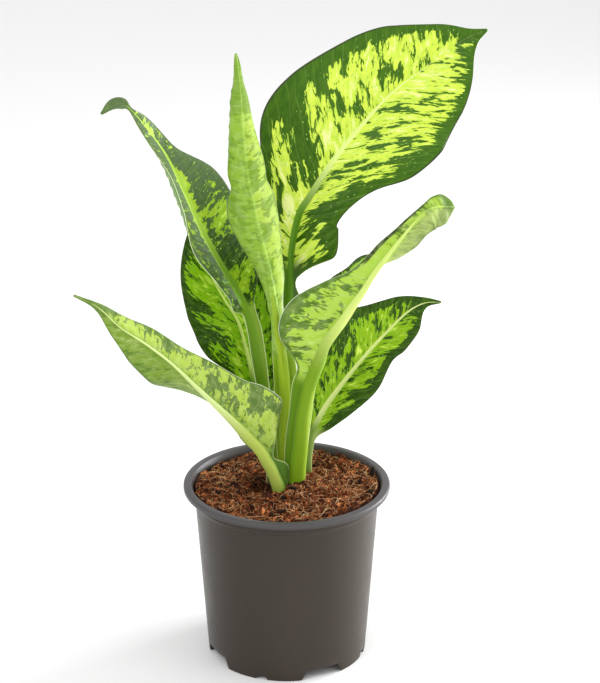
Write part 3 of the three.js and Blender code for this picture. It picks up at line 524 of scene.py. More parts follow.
class Finish:
    """A node material whose parts are added by short calls that return sockets."""

    def __init__(self, name, roughness, specular):
        self.material = bpy.data.materials.new(name)
        self.material.use_nodes = True
        self.tree = self.material.node_tree
        self.shader = self.tree.nodes["Principled BSDF"]
        self.shader.inputs["Roughness"].default_value = roughness
        self.shader.inputs["Specular IOR Level"].default_value = specular

    def put(self, socket, value):
        """Links a socket to another, or sets its value."""
        if isinstance(value, bpy.types.NodeSocket):
            self.tree.links.new(value, socket)
        else:
            socket.default_value = value

    def into_shader(self, **values):
        """Links or sets the shader's inputs. An underscore in a name stands for a space."""
        for key, value in values.items():
            self.put(self.shader.inputs[key.replace("_", " ")], value)

    def attribute(self, name, colour=False):
        """A value or a colour that the mesh carries at each point."""
        node = self.tree.nodes.new("ShaderNodeAttribute")
        node.attribute_name = name
        return node.outputs["Color" if colour else "Fac"]

    def place(self, scale, uv=False, shift=(0, 0, 0)):
        """Object coordinates, or the piece's UV map, with each axis multiplied by its scale and shifted."""
        source = self.tree.nodes.new("ShaderNodeTexCoord")
        mapping = self.tree.nodes.new("ShaderNodeMapping")
        self.put(mapping.inputs["Vector"], source.outputs["UV" if uv else "Object"])
        mapping.inputs["Scale"].default_value = scale
        mapping.inputs["Location"].default_value = shift
        return mapping.outputs["Vector"]

    def texture(self, kind, place):
        """A texture node at the place, whose own scale is 1 because the place already has one."""
        node = self.tree.nodes.new(kind)
        self.put(node.inputs["Vector"], place)
        node.inputs["Scale"].default_value = 1.0
        return node

    def noise(self, scale, detail=2.0, roughness=0.5, distortion=0.0, **place):
        """Smooth noise round 0.5, with the scale as waves per metre, or per millimetre of the UV map."""
        node = self.texture("ShaderNodeTexNoise", self.place(scale, **place))
        node.inputs["Detail"].default_value = detail
        node.inputs["Roughness"].default_value = roughness
        node.inputs["Distortion"].default_value = distortion
        return node.outputs["Fac"]

    def cells(self, scale, **place):
        """The distance to the nearest of many scattered points, and that point's random colour."""
        node = self.texture("ShaderNodeTexVoronoi", self.place(scale, **place))
        return node.outputs["Distance"], node.outputs["Color"]

    def math(self, operation, *values):
        """One arithmetic step."""
        node = self.tree.nodes.new("ShaderNodeMath")
        node.operation = operation
        for socket, value in zip(node.inputs, values):
            self.put(socket, value)
        return node.outputs["Value"]

    def total(self, *terms):
        """The sum of (value, weight) terms. A term's third number is the value's middle, taken off first."""
        running = 0.0
        for value, weight, *centre in terms:
            moved = self.math("SUBTRACT", value, centre[0]) if centre else value
            running = self.math("MULTIPLY_ADD", moved, weight, running)
        return running

    def fade(self, value, start, end):
        """A smooth step from 0 at start to 1 at end."""
        node = self.tree.nodes.new("ShaderNodeMapRange")
        node.interpolation_type = "SMOOTHSTEP"
        self.put(node.inputs["Value"], value)
        self.put(node.inputs["From Min"], start)
        self.put(node.inputs["From Max"], end)
        return node.outputs["Result"]

    def mix(self, share, first, second):
        """The first colour, going over to the second as the share goes from 0 to 1. A colour is a socket, or
        red, green and blue from 0 to 255."""
        node = self.tree.nodes.new("ShaderNodeMix")
        node.data_type = "RGBA"
        self.put(node.inputs["Factor"], share)
        for socket, colour in ((node.inputs[6], first), (node.inputs[7], second)):
            self.put(socket, srgb(*colour) if isinstance(colour, tuple) else colour)
        return node.outputs[2]

    def ramp(self, value, stops):
        """Colours along a value, as stops of a place and red, green and blue from 0 to 255."""
        node = self.tree.nodes.new("ShaderNodeValToRGB")
        elements = node.color_ramp.elements
        while len(elements) < len(stops):
            elements.new(0.5)
        for element, (place, colour) in zip(elements, stops):
            element.position = place
            element.color = srgb(*colour)
        self.put(node.inputs["Fac"], value)
        return node.outputs["Color"]

    def bump(self, height, strength, depth):
        """Small relief on the surface: the depth is in millimetres."""
        node = self.tree.nodes.new("ShaderNodeBump")
        node.inputs["Strength"].default_value = strength
        node.inputs["Distance"].default_value = depth * MM
        self.put(node.inputs["Height"], height)
        self.put(self.shader.inputs["Normal"], node.outputs["Normal"])


def vein_lines(finish):
    """A value that is 1 along each side vein and 0 between them, from the vein coordinate in the UV map."""
    split = finish.tree.nodes.new("ShaderNodeSeparateXYZ")
    finish.put(split.inputs[0], finish.place((1, 1, 1), uv=True))
    wander = finish.noise((0.12, 0.06, 1), detail=1, uv=True)
    vein = finish.total((split.outputs["X"], 1 / VEIN_GAP), (wander, 0.8, 0.5))
    away = finish.math("PINGPONG", vein, 0.5)
    return finish.fade(away, 0.07, 0.0)


def mottling(finish, *layers):
    """The leaf's own paleness plus layers of noise that stretch along the side veins. Each layer is given as
    its waves per millimetre over and along the veins and its weight."""
    terms = [(finish.attribute("pale"), 1.0)]
    for order, (over, along, weight) in enumerate(layers):
        layer = finish.noise(
            (over, along, 1), roughness=0.6, distortion=0.7, uv=True, shift=(3.1 * order, 7.7 * order, 0))
        terms.append((layer, weight, 0.5))
    return finish.total(*terms)


def leaf_clouds(finish, scale, shift):
    """Broad soft clouds over the blade."""
    return finish.noise((scale, scale, 1), detail=3, uv=True, shift=shift)


def rib_and_stalk(finish, colour, inner):
    """The colour goes over to the rib's own where the rib share falls from 1.1 to the inner one, and to the
    stalk's on the stalk."""
    rib = finish.fade(finish.attribute("rib_share"), 1.1, inner)
    colour = finish.mix(rib, colour, finish.attribute("rib_colour", colour=True))
    colour = finish.mix(finish.attribute("stalk"), colour, finish.attribute("stalk_colour", colour=True))
    finish.into_shader(Base_Color=colour)


def leaf_skin(finish, lines, clouds, scale, pore_height, line_height, gloss_change, roughness):
    """Relief and gloss from fine pores, with the side veins' lines raised or sunk, and the clouds."""
    pores = finish.noise((scale, scale, scale))
    height = finish.total((pores, pore_height, 0.5), (lines, line_height), (clouds, 0.6, 0.5))
    finish.bump(height, strength=0.35, depth=0.25)
    gloss = finish.total((pores, gloss_change, 0.5), (clouds, 0.2, 0.5), (1.0, roughness))
    finish.into_shader(Roughness=gloss)


def leaf_upper_finish():
    """The upper face: sharp lime blotches on dark green, cream places, fine specks and a satin skin."""
    finish = Finish("leaf_upper", roughness=0.4, specular=0.13)
    field = mottling(finish, (0.11, 0.06, 1.9), (0.24, 0.105, 3.9), (0.75, 0.27, 1.7), (2.2, 1.5, 0.3))
    bright = finish.attribute("bright", colour=True)
    deep = finish.attribute("deep", colour=True)
    clouds = leaf_clouds(finish, 0.22, (9, 2, 0))
    dark = finish.mix(finish.fade(clouds, 0.35, 0.7), deep, finish.mix(0.22, deep, (108, 152, 34)))
    middle = finish.mix(0.4, finish.mix(0.45, deep, bright), (96, 168, 28))
    colour = finish.mix(finish.fade(field, -0.16, -0.02), dark, middle)
    lime = finish.mix(finish.fade(clouds, 0.3, 0.7), bright, finish.mix(0.3, bright, (128, 196, 24)))
    colour = finish.mix(finish.fade(field, -0.02, 0.07), colour, lime)
    colour = finish.mix(finish.fade(field, 0.6, 1.3), colour, finish.attribute("cream", colour=True))

    distance, tone = finish.cells((0.6, 0.55, 1), uv=True)
    picked = finish.fade(tone, 0.56, 0.62)
    specks = finish.math("MULTIPLY", finish.fade(distance, 0.27, 0.16), picked)
    specks = finish.math("MULTIPLY", specks, finish.fade(field, -1.6, -0.7))
    colour = finish.mix(specks, colour, (160, 204, 96))

    lines = vein_lines(finish)
    colour = finish.mix(finish.math("MULTIPLY", lines, 0.1), colour, (190, 222, 120))
    colour = finish.mix(finish.fade(finish.attribute("share"), 0.965, 0.995), colour, (58, 70, 36))
    rib_and_stalk(finish, colour, inner=0.75)
    leaf_skin(finish, lines, clouds, scale=900, pore_height=0.5, line_height=-0.6, gloss_change=0.25,
              roughness=0.38)
    return finish.material


def leaf_under_finish():
    """The underside: pale lime with soft grey-green patches that show through, and a raised pale rib."""
    finish = Finish("leaf_under", roughness=0.46, specular=0.13)
    field = mottling(finish, (0.1, 0.075, 2.6), (0.34, 0.15, 2.4), (0.9, 0.4, 1.0))
    field = finish.math("MULTIPLY", field, finish.attribute("crispness"))
    light = finish.attribute("under_light", colour=True)
    grey = finish.attribute("under_dark", colour=True)
    clouds = leaf_clouds(finish, 0.2, (4, 6, 0))
    colour = finish.mix(finish.fade(field, -0.14, 0.1), grey, light)
    colour = finish.mix(finish.fade(field, 0.4, 1.2), colour, finish.mix(0.45, light, (232, 242, 160)))
    veil = (206, 226, 150)
    colour = finish.mix(finish.fade(clouds, 0.35, 0.75), colour, finish.mix(0.22, colour, veil))
    lines = vein_lines(finish)
    colour = finish.mix(finish.math("MULTIPLY", lines, 0.16), colour, veil)
    share = finish.attribute("share")
    colour = finish.mix(finish.fade(share, 0.95, 0.975), colour, (92, 118, 74))
    colour = finish.mix(finish.fade(share, 0.98, 0.995), colour, (214, 226, 180))
    rib_and_stalk(finish, colour, inner=0.7)
    leaf_skin(finish, lines, clouds, scale=800, pore_height=0.4, line_height=0.8, gloss_change=0.2,
              roughness=0.46)
    return finish.material


def pot_finish():
    """Moulded dark taupe plastic: fine grain, faint streaks, a little dust and a paler, cooler painted
    highlight on the rim.
    """
    finish = Finish("pot_plastic", roughness=0.36, specular=0.3)
    flow = finish.noise((16, 16, 2.5), detail=3)
    grain = finish.noise((800, 800, 800))
    dust = finish.noise((70, 70, 70), detail=4, roughness=0.7)
    colour = finish.ramp(flow, [(0.3, (49, 41, 33)), (0.7, (55, 47, 38))])
    colour = finish.mix(finish.fade(dust, 0.55, 0.95), colour, (61, 53, 44))
    height = finish.tree.nodes.new("ShaderNodeSeparateXYZ")
    finish.put(height.inputs[0], finish.place((1, 1, 1)))
    # Towards the top of the pot the colour goes over to a paler, cooler grey: a painted highlight on the rim.
    painted_rim_highlight = finish.fade(height.outputs["Z"], (POT_HEIGHT - RIM_BAND - 1) * MM, (POT_HEIGHT - 1) * MM)
    colour = finish.mix(finish.math("MULTIPLY", painted_rim_highlight, 0.7), colour, (84, 82, 86))
    finish.into_shader(Base_Color=colour)
    finish.bump(finish.total((grain, 1.0, 0.5), (dust, 0.5, 0.5)), strength=0.2, depth=0.1)
    finish.into_shader(Roughness=finish.total((grain, 0.15, 0.5), (dust, 0.25, 0.5), (1.0, 0.36)))
    return finish.material


def soil_finish():
    """The bed of the mix: dark brown with rusty grains."""
    finish = Finish("coir_bed", roughness=0.95, specular=0.15)
    grains = finish.noise((900, 900, 900), detail=4, roughness=0.7)
    clods = finish.noise((260, 260, 260), detail=3)
    colour = finish.ramp(
        grains, [(0.34, (16, 6, 3)), (0.48, (58, 28, 13)), (0.6, (114, 58, 27)), (0.72, (192, 120, 72))])
    colour = finish.mix(finish.fade(clods, 0.6, 0.35), colour, (44, 24, 15))
    finish.into_shader(Base_Color=colour)
    finish.bump(finish.total((grains, 1.0), (clods, 0.6)), strength=0.8, depth=0.8)
    return finish.material


def crumb_finish(name, stops):
    """Husk crumbs or fibres, each with its own tint from the tint attribute and a fibrous grain."""
    finish = Finish(name, roughness=0.9, specular=0.2)
    grain = finish.noise((1500, 1500, 500), detail=3)
    tint = finish.total((finish.attribute("tint"), 1.0), (grain, 0.5, 0.5))
    finish.into_shader(Base_Color=finish.ramp(tint, stops))
    finish.bump(grain, strength=0.5, depth=0.3)
    return finish.material


def stem_finish():
    """The buried stem: green-brown with faint rings."""
    finish = Finish("stem_skin", roughness=0.6, specular=0.3)
    rings = finish.noise((30, 30, 260))
    finish.into_shader(Base_Color=finish.ramp(rings, [(0.35, (110, 118, 58)), (0.65, (150, 160, 84))]))
    finish.bump(rings, strength=0.4, depth=0.5)
    return finish.material


# Leaves


def rows_at(stations, places):
    """The uniform Catmull-Rom curve through the stations at the places, its ends carried on straight."""
    rows = np.asarray(stations, dtype=float)
    padded = np.vstack([2 * rows[0] - rows[1], rows, 2 * rows[-1] - rows[-2]])
    i = np.clip(np.floor(places).astype(int), 0, len(rows) - 2)
    t = (places - i)[:, None]
    before, start, end, after = padded[i], padded[i + 1], padded[i + 2], padded[i + 3]
    slope_in = (end - before) / 2
    slope_out = (after - start) / 2
    cubic = 2 * start - 2 * end + slope_in + slope_out
    square = 3 * end - 3 * start - 2 * slope_in - slope_out
    return ((cubic * t + square) * t + slope_in) * t + start


def section_places(stations, blade_from):
    """Places along the rib at even distances, closer on the blade than on the stalk, and each place's arc
    length from the start of the blade."""
    fine = np.linspace(0, len(stations) - 1, 2001)
    ribs = rows_at(stations, fine)[:, :3]
    steps = np.linalg.norm(np.diff(ribs, axis=0), axis=1)
    spacing = np.where(fine[1:] < blade_from, STALK_SPACING, BLADE_SPACING)
    count = np.concatenate([[0], np.cumsum(steps / spacing)])
    arc = np.concatenate([[0], np.cumsum(steps)])
    wanted = np.linspace(0, count[-1], int(count[-1]) + 2)
    places = np.interp(wanted, count, fine)
    arcs = np.interp(places, fine, arc) - np.interp(blade_from, fine, arc)
    return places, arcs


def half_surface(rows, across, outward, places, side, wave, blade):
    """One half of the blade's middle surface. Each section is an arc of the half's width: at a distance d
    from the rib its angle is lean - curl / 2 + curl * d / width. The margin waves by wave * width * sine."""
    width, lean, curl = rows[:, 3:6].T if side < 0 else rows[:, 6:9].T
    width = np.maximum(width, LEAST_WIDTH)[:, None]
    curl = np.radians(np.where(np.abs(curl) < LEAST_CURL, LEAST_CURL, curl))[:, None]
    start = np.radians(lean)[:, None] - curl / 2
    rib_half = np.minimum(rows[:, 9:10] * (1 + RIB_FLARE * blade[:, None]), RIB_LIMIT * width)
    inner = np.linspace(0, 1, RIB_COLUMNS)[None, :] * rib_half
    outer = rib_half + np.linspace(0, 1, BLADE_COLUMNS + 1)[None, 1:] * (width - rib_half)
    distance = np.hstack([inner, outer])
    share = distance / width
    angle = start + curl * share
    sideways = width / curl * (np.sin(angle) - np.sin(start))
    forward = width / curl * (np.cos(start) - np.cos(angle))
    phase = WAVE_OFFSET if side < 0 else 0.0
    waves = wave * width * np.sin(2 * np.pi * WAVE_TURNS * places[:, None] + phase) * share**2
    across = side * across[:, None]
    outward = outward[:, None]
    middle = rows[:, None, :3] + sideways[..., None] * across + (forward + waves)[..., None] * outward
    normal = np.cos(angle)[..., None] * outward - np.sin(angle)[..., None] * across
    return middle, normal, side * distance, share, distance / rib_half


def leaf_surface(name):
    """The leaf's middle surface as a grid from foot to tip and left to right, with what its looks need."""
    stations = STATIONS[name]["rows"]
    looks = LOOKS[name]
    last = len(stations) - 1
    places, arcs = section_places(stations, looks["blade_from"])
    rows = rows_at(stations, places)
    step = 0.05
    ahead = rows_at(stations, np.minimum(places + step, last))[:, :3]
    behind = rows_at(stations, np.maximum(places - step, 0))[:, :3]
    along = unit(ahead - behind)
    across = unit(np.cross(along, TO_VIEWER))
    outward = np.cross(across, along)
    blade, mottled = (
        smooth_step(places, looks["blade_from"] + start, looks["blade_from"] + end)
        for start, end in (BLADE_GROWS, MOTTLING_GROWS)
    )
    halves = [
        half_surface(rows, across, outward, places, side, STATIONS[name]["wave"], blade) for side in (-1, 1)
    ]
    left, right = halves
    joined = [np.concatenate([a[:, :0:-1], b], axis=1) for a, b in zip(left, right)]
    middle, normal, distance, share, rib_share = joined
    centre = left[0].shape[1] - 1
    normal[:, centre] = unit(left[1][:, 0] + right[1][:, 0])
    spread = np.abs(distance)
    slant = np.where(distance < 0, looks["slant"][0], looks["slant"][1])
    vein = arcs[:, None] - slant * spread - VEIN_BEND * spread**2
    return SimpleNamespace(
        middle=middle, normal=normal, distance=distance, share=share, rib_share=rib_share, vein=vein,
        blade=blade, mottled=mottled, rows=rows, places=places, arcs=arcs)


def paleness(surface, looks):
    """Positive where the blade is pale, negative where it is dark. It falls from the rib to each half's
    reach as base * (1 - out^3), and each zone adds a round hill or hollow. The margin and tip are darker."""
    signed = surface.share * np.sign(surface.distance)
    out = surface.share / np.where(signed < 0, *looks["reach"])
    pale = looks["base"] * (1 - out**3) - MARGIN_DARKNESS * smooth_step(out, 0.92, 1.15)
    for vein, share, vein_reach, share_reach, amount in looks["zones"]:
        square = ((surface.vein - vein) / vein_reach) ** 2 + ((signed - share) / share_reach) ** 2
        pale = pale + amount * np.exp(-square)
    tip = smooth_step(surface.places, surface.places[-1] - 2.7, surface.places[-1] - 1.3)
    return pale - TIP_DARKNESS * tip[:, None]


def blended(weight, first, second):
    """A colour at each point that goes from the first to the second as the weight goes from 0 to 1."""
    return first + weight[..., None] * (np.asarray(second) - np.asarray(first))


def both_ends(colours):
    """The two colours of a pair. A single colour is both."""
    pair = colours if isinstance(colours, list) else [colours, colours]
    return [srgb(*colour) for colour in pair]


def leaf_colours(surface, looks):
    """The colours and values that the two leaf finishes read at each point."""
    shape = surface.share.shape
    arcs = surface.arcs[:, None] * np.ones(shape)
    side = surface.rib_share * np.sign(surface.distance)
    # The stalk's three colours are partly its own and partly painted light and shade across it: a lit middle,
    # and sides darker or paler as the light falls on them.
    left, middle, right = (srgb(*colour) for colour in looks["stalk"])
    stalk = blended(smooth_step(side, -0.15, -1.0), middle, left)
    stalk = blended(smooth_step(side, 0.15, 1.0), stalk, right)
    low = 1 - smooth_step(surface.rows[:, 2:3] * np.ones(shape), *FOOT_HEIGHTS)
    stalk = blended(FOOT_SHARE * low, stalk, srgb(*looks["foot"]))
    stalk = blended(smooth_step(surface.share, 0.9, 0.97), stalk, srgb(*looks["edge"]))
    breadth = np.interp(surface.arcs, *zip(*looks["rib_breadth"]))[:, None]
    high_up = smooth_step(arcs, *HIGH_UP)
    crisp_low, crisp_high = looks.get("crispness", (1.0, 1.0))
    colours = {key: blended(high_up, *both_ends(looks[key])) for key in ("bright", "deep", "cream")}
    over = smooth_step(side, -1.5, 4)
    for key in ("under_light", "under_dark"):
        colours[key] = blended(over, *both_ends(looks[key]))
        if "turned_margin" in looks:
            colours[key] = blended(turned_over(surface, arcs, *looks["turned_margin"]), colours[key],
                                   srgb(*TURNED_COLOUR))
    return {
        **colours,
        "stalk_colour": stalk,
        "rib_colour": blended(smooth_step(arcs, *looks["rib_turns"]), middle, srgb(*looks["rib"])),
        "stalk": np.broadcast_to(1 - surface.mottled[:, None], shape),
        "pale": paleness(surface, looks),
        "share": surface.share,
        "rib_share": surface.rib_share / breadth,
        "crispness": crisp_low + high_up * (crisp_high - crisp_low),
    }


def turned_over(surface, arcs, start, end, share):
    """1 on the left half's margin beyond the share, between the two arcs, and 0 elsewhere."""
    begun = smooth_step(arcs, start - TURNED_START, start + TURNED_START)
    not_ended = smooth_step(arcs, end + TURNED_END, end - TURNED_END)
    leftward = -surface.share * np.sign(surface.distance)
    return begun * not_ended * smooth_step(leftward, share - TURNED_EDGE, share + TURNED_EDGE)


def leaf_relief(surface):
    """How far the blade stands up, towards its upper face, from its middle surface. It is quilted between
    the side veins by a cosine of the vein coordinate, and each vein is a narrow furrow."""
    phase = surface.vein / VEIN_GAP
    away = np.abs(phase - np.round(phase)) * VEIN_GAP
    quilt = QUILT_HEIGHT * (1 - np.cos(2 * np.pi * phase))
    furrow = FURROW_DEPTH * np.exp(-((away / FURROW_BREADTH) ** 2))
    share = surface.share
    fade = smooth_step(share, 0.05, 0.25) * (1 - smooth_step(share, 0.8, 1.0))
    return (quilt - furrow) * fade * surface.blade[:, None]


def make_leaf(name, order, materials):
    """The closed skin of one leaf. The near and far faces stand half the thickness off the middle surface.
    The rib swells out of the underside by depth * (1 - x^2)^p, rounder on the stalk than on the blade, and a
    shallow channel runs over it."""
    surface = leaf_surface(name)
    looks = LOOKS[name]
    seen_under = STATIONS[name]["face_seen"] == "under"
    rows = surface.rows
    share = surface.share
    blade = surface.blade[:, None]
    half = (BLADE_THICKNESS + (MARGIN_THICKNESS - BLADE_THICKNESS) * share**5 * blade) / 2
    inside = np.clip(1 - surface.rib_share ** 2, 0, 1)
    bulge = rows[:, 10:11] * inside ** (0.5 + 0.7 * blade)
    channel = CHANNEL_DEPTH * rows[:, 10:11] * inside**2 * blade
    upward = -1.0 if seen_under else 1.0
    relief = upward * leaf_relief(surface)
    near_rise = bulge if seen_under else -channel
    far_rise = -channel if seen_under else bulge
    near = surface.middle + surface.normal * (relief + half + near_rise)[..., None]
    far = surface.middle + surface.normal * (relief - half - far_rise)[..., None]

    count, columns = share.shape
    points = np.concatenate([near.reshape(-1, 3), far.reshape(-1, 3)])
    size = count * columns
    near_quads = grid_faces(count, columns)
    far_quads = grid_faces(count, columns, first=size, flip=True)
    i = np.arange(count - 1) * columns
    left_edge = np.stack([i + size, i, i + columns, i + columns + size], -1)
    k = i + columns - 1
    right_edge = np.stack([k, k + size, k + columns + size, k + columns], -1)
    j = np.arange(columns - 1)
    foot = np.stack([j + size, j + 1 + size, j + 1, j], -1)
    top = j + (count - 1) * columns
    tip = np.stack([top, top + 1, top + 1 + size, top + size], -1)
    quads = np.concatenate([near_quads, far_quads, left_edge, right_edge, foot, tip])
    near_finish = 1 if seen_under else 0
    face_materials = np.full(len(quads), 1)
    face_materials[:len(near_quads)] = near_finish
    face_materials[len(near_quads):len(near_quads) + len(far_quads)] = 1 - near_finish

    attributes = {}
    for key, values in leaf_colours(surface, looks).items():
        flat = values.reshape(size, -1)
        both = np.concatenate([flat, flat])
        attributes[key] = both[:, 0] if both.shape[1] == 1 else both
    uv = np.stack([surface.vein, looks["squeeze"] * surface.distance], -1).reshape(-1, 2)
    uv = uv + order * np.array(UV_APART)
    piece = new_piece(name + "_fine", points, quads.tolist(), materials, face_materials, attributes,
                      np.concatenate([uv, uv]))
    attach(piece, "root")
    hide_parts(name)


# Pot


def rounded(corners):
    """A profile through corners given as (radius, height, rounding). Each corner with a rounding is replaced
    by a quadratic curve that starts and ends that far from it."""
    corners = [np.array(corner, dtype=float) for corner in corners]
    points = []
    for k, corner in enumerate(corners):
        if corner[2] == 0 or k in (0, len(corners) - 1):
            points.append(corner[:2])
            continue
        place = corner[:2]
        start = place + unit(corners[k - 1][:2] - place) * corner[2]
        end = place + unit(corners[k + 1][:2] - place) * corner[2]
        t = np.linspace(0, 1, CORNER_POINTS)[:, None]
        points.extend((1 - t) ** 2 * start + 2 * t * (1 - t) * place + t**2 * end)
    return np.array(points)


def filled_in(profile, longest):
    """The profile with more points, so that no stretch of it is longer than the given length."""
    lengths = np.linalg.norm(np.diff(profile, axis=0), axis=1)
    counts = np.maximum(np.ceil(lengths / longest).astype(int), 1)
    places = np.concatenate([k + np.arange(n) / n for k, n in enumerate(counts)] + [[len(profile) - 1]])
    index = np.arange(len(profile))
    return np.stack([np.interp(places, index, profile[:, 0]), np.interp(places, index, profile[:, 1])], -1)


def turned(profile, segments=POT_SEGMENTS):
    """Points of a profile of (radius, height) carried round Z, row by row."""
    angle = 2 * np.pi * np.arange(segments) / segments
    radius, height = profile[:, 0:1], profile[:, 1:2] * np.ones(segments)
    return np.stack([radius * np.sin(angle), -radius * np.cos(angle), height], -1)


def notch_height(angle, pattern):
    """How high the skirt is cut at an angle: a trapezium round each notch's middle, 0 elsewhere."""
    turn = 360 / pattern["count"]
    degrees = np.degrees(angle)
    off = np.abs((degrees - pattern["first"] + turn / 2) % turn - turn / 2)
    inward = WALL_RADIUS_FOOT * np.radians(pattern["width"] / 2 - off)
    return pattern["height"] * np.clip(inward / pattern["slope"], 0, 1)


def wall_radius(height):
    """The outer wall's radius, which grows evenly from foot to shoulder."""
    return WALL_RADIUS_FOOT + (WALL_RADIUS_TOP - WALL_RADIUS_FOOT) * height / SHOULDER_HEIGHT


def drained_floor(inner_radius, outer_radius, height):
    """Points of one floor face with its drain holes. Each sector is a grid from the hole's ring out to the
    sector's border, with straight lines between them."""
    sector = 2 * np.pi / DRAIN_HOLE["count"]
    around = np.linspace(-sector / 2, sector / 2, POT_SEGMENTS // DRAIN_HOLE["count"] + 1)
    sides = np.linspace(0, 1, 9)[1:-1]
    radius = np.concatenate([
        np.full(len(around), outer_radius), outer_radius + (inner_radius - outer_radius) * sides,
        np.full(len(around), inner_radius), inner_radius + (outer_radius - inner_radius) * sides,
    ])
    angle = np.concatenate([
        around, np.full(len(sides), sector / 2), around[::-1], np.full(len(sides), -sector / 2),
    ])
    border = np.stack([radius * np.sin(angle), -radius * np.cos(angle)], -1)
    middle = np.array([0.0, -DRAIN_HOLE["circle"]])
    ring = middle + DRAIN_HOLE["radius"] * unit(border - middle)
    t = np.linspace(0, 1, 7)[:, None, None]
    flat = ring * (1 - t) + border * t
    return np.concatenate([flat, np.full((*flat.shape[:2], 1), float(height))], -1)


def make_pot(material):
    """The pot: a foot disc and an outer shell turned about Z, with a floor of drained sectors between them.
    Below the floor, the skirt's points are lifted over its notches."""
    floor_top = FLOOR_HEIGHT + WALL
    lip_bottom = POT_HEIGHT - RIM_BAND
    collar_radius = WALL_RADIUS_TOP + COLLAR["out"]
    collar_bottom = SHOULDER_HEIGHT + COLLAR["up"]
    collar_top = collar_bottom + COLLAR["height"]
    under_start = FOOT_DISC_RADIUS + 2.5
    over_start = FOOT_DISC_RADIUS + 1.7
    disc_under = rounded([(0, 0, 0), (FOOT_DISC_RADIUS, 0, 1.2), (under_start, FLOOR_HEIGHT, 0)])
    disc_over = rounded([(over_start, floor_top, 0), (FOOT_DISC_RADIUS - 0.8, WALL, 1), (0, WALL, 0)])
    shell = rounded([
        (wall_radius(FLOOR_HEIGHT) - WALL, FLOOR_HEIGHT, 0),
        (wall_radius(0) - WALL, 0, 0.3),
        (wall_radius(0), 0, 0.4),
        (WALL_RADIUS_TOP, SHOULDER_HEIGHT, 0.7),
        (collar_radius, collar_bottom, 0.7),
        (collar_radius, collar_top, 0.4),
        (RIM_RADIUS, lip_bottom, 1.2),
        (RIM_RADIUS, POT_HEIGHT, 1.5),
        (RIM_INNER_RADIUS, POT_HEIGHT, 1.0),
        (collar_radius - WALL, collar_top, 0.8),
        (collar_radius - WALL, collar_bottom + 0.6, 0.6),
        (wall_radius(SHOULDER_HEIGHT) - WALL, SHOULDER_HEIGHT, 0.6),
        (wall_radius(floor_top) - WALL, floor_top, 0),
    ])
    outer = turned(filled_in(shell, 3.0))
    angle = 2 * np.pi * np.arange(POT_SEGMENTS) / POT_SEGMENTS
    cut = np.maximum(notch_height(angle, WIDE_NOTCH), notch_height(angle, SMALL_NOTCH))
    low = FLOOR_HEIGHT - 0.1
    height = outer[..., 2]
    outer[..., 2] = np.where(height < low, cut + (low - cut) * height / low, height)
    grids = [turned(disc_under), turned(disc_over), outer]
    under = drained_floor(under_start, wall_radius(FLOOR_HEIGHT) - WALL, FLOOR_HEIGHT)
    over = drained_floor(over_start, wall_radius(floor_top) - WALL, floor_top)
    hole = np.stack([under[0], over[0]])
    for k in range(DRAIN_HOLE["count"]):
        turn = 2 * np.pi * k / DRAIN_HOLE["count"]
        cosine, sine = math.cos(turn), math.sin(turn)
        matrix = np.array([[cosine, -sine, 0], [sine, cosine, 0], [0, 0, 1]])
        grids.extend(grid @ matrix.T for grid in (under, over, hole))
    points = []
    faces = []
    first = 0
    for grid in grids:
        points.append(grid.reshape(-1, 3))
        faces.append(grid_faces(*grid.shape[:2], first=first, closed=True))
        first += len(points[-1])
    pot = new_piece("pot_moulding", np.concatenate(points), np.concatenate(faces).tolist(), [material])
    weld(pot)
    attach(pot, "root")
    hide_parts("pot")


# Mix


def hill(x, y, middle_x, middle_y, spread):
    """A round hill of height 1 that falls as exp(-distance^2 / spread)."""
    return np.exp(-((x - middle_x) ** 2 + (y - middle_y) ** 2) / spread)


def soil_height(x, y):
    """The mix's level: a tilt, a mound at the front right of the stalks, a hollow left of them and lumps."""
    tilt = 1.5 * (x - y) / 70
    mound = 7 * hill(x, y, 12, -6, 420)
    hollow = -3.5 * hill(x, y, -11, -4, 130)
    lumps = 0.8 * np.sin(0.33 * x + 1.3) * np.sin(0.29 * y - 0.4)
    lumps += 0.5 * np.sin(0.61 * x - 0.35 * y + 2) * np.sin(0.52 * y + 0.2 * x)
    return SOIL_LEVEL - 1 + tilt + mound + hollow + lumps


def rough_soil_height(x, y):
    """The level with clods, grains and pits of four sizes."""
    rough = sum(height * (value_noise(x, y, size, seed) - 0.5) for size, height, seed in ROUGHNESS)
    return soil_height(x, y) + rough


def painted_hollow_shade(x, y):
    """1 in the hollow left of the stalks, where the mix is painted darker as shade, falling to 0 round it."""
    return hill(x, y, -14, -2, 150)


def make_soil(material):
    """The body of the mix: rings from the middle of its underside, up the wall and in over the rough top."""
    angle = 2 * np.pi * np.arange(SOIL_SEGMENTS) / SOIL_SEGMENTS
    floor_top = FLOOR_HEIGHT + WALL + CLEARANCE
    below = np.array([
        [0.0, WALL + CLEARANCE],
        [FOOT_DISC_RADIUS - 1.3, WALL + CLEARANCE],
        [FOOT_DISC_RADIUS + 1.2, floor_top],
        [wall_radius(floor_top) - WALL - CLEARANCE, floor_top],
        [wall_radius(SHOULDER_HEIGHT) - WALL - CLEARANCE, SHOULDER_HEIGHT],
        [SOIL_RADIUS - 0.2, SHOULDER_HEIGHT + 3],
    ])
    lower = turned(below, SOIL_SEGMENTS)
    radius = SOIL_RADIUS * np.linspace(1, 0, SOIL_RINGS)[:, None] ** 0.9
    x = radius * np.sin(angle)
    y = -radius * np.cos(angle)
    top = np.stack([x, y, rough_soil_height(x, y)], -1)
    grid = np.concatenate([lower, top])
    soil = new_piece("mix_bed", grid.reshape(-1, 3),
                     grid_faces(grid.shape[0], SOIL_SEGMENTS, closed=True).tolist(), [material])
    weld(soil)
    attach(soil, "root")
    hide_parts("soil")


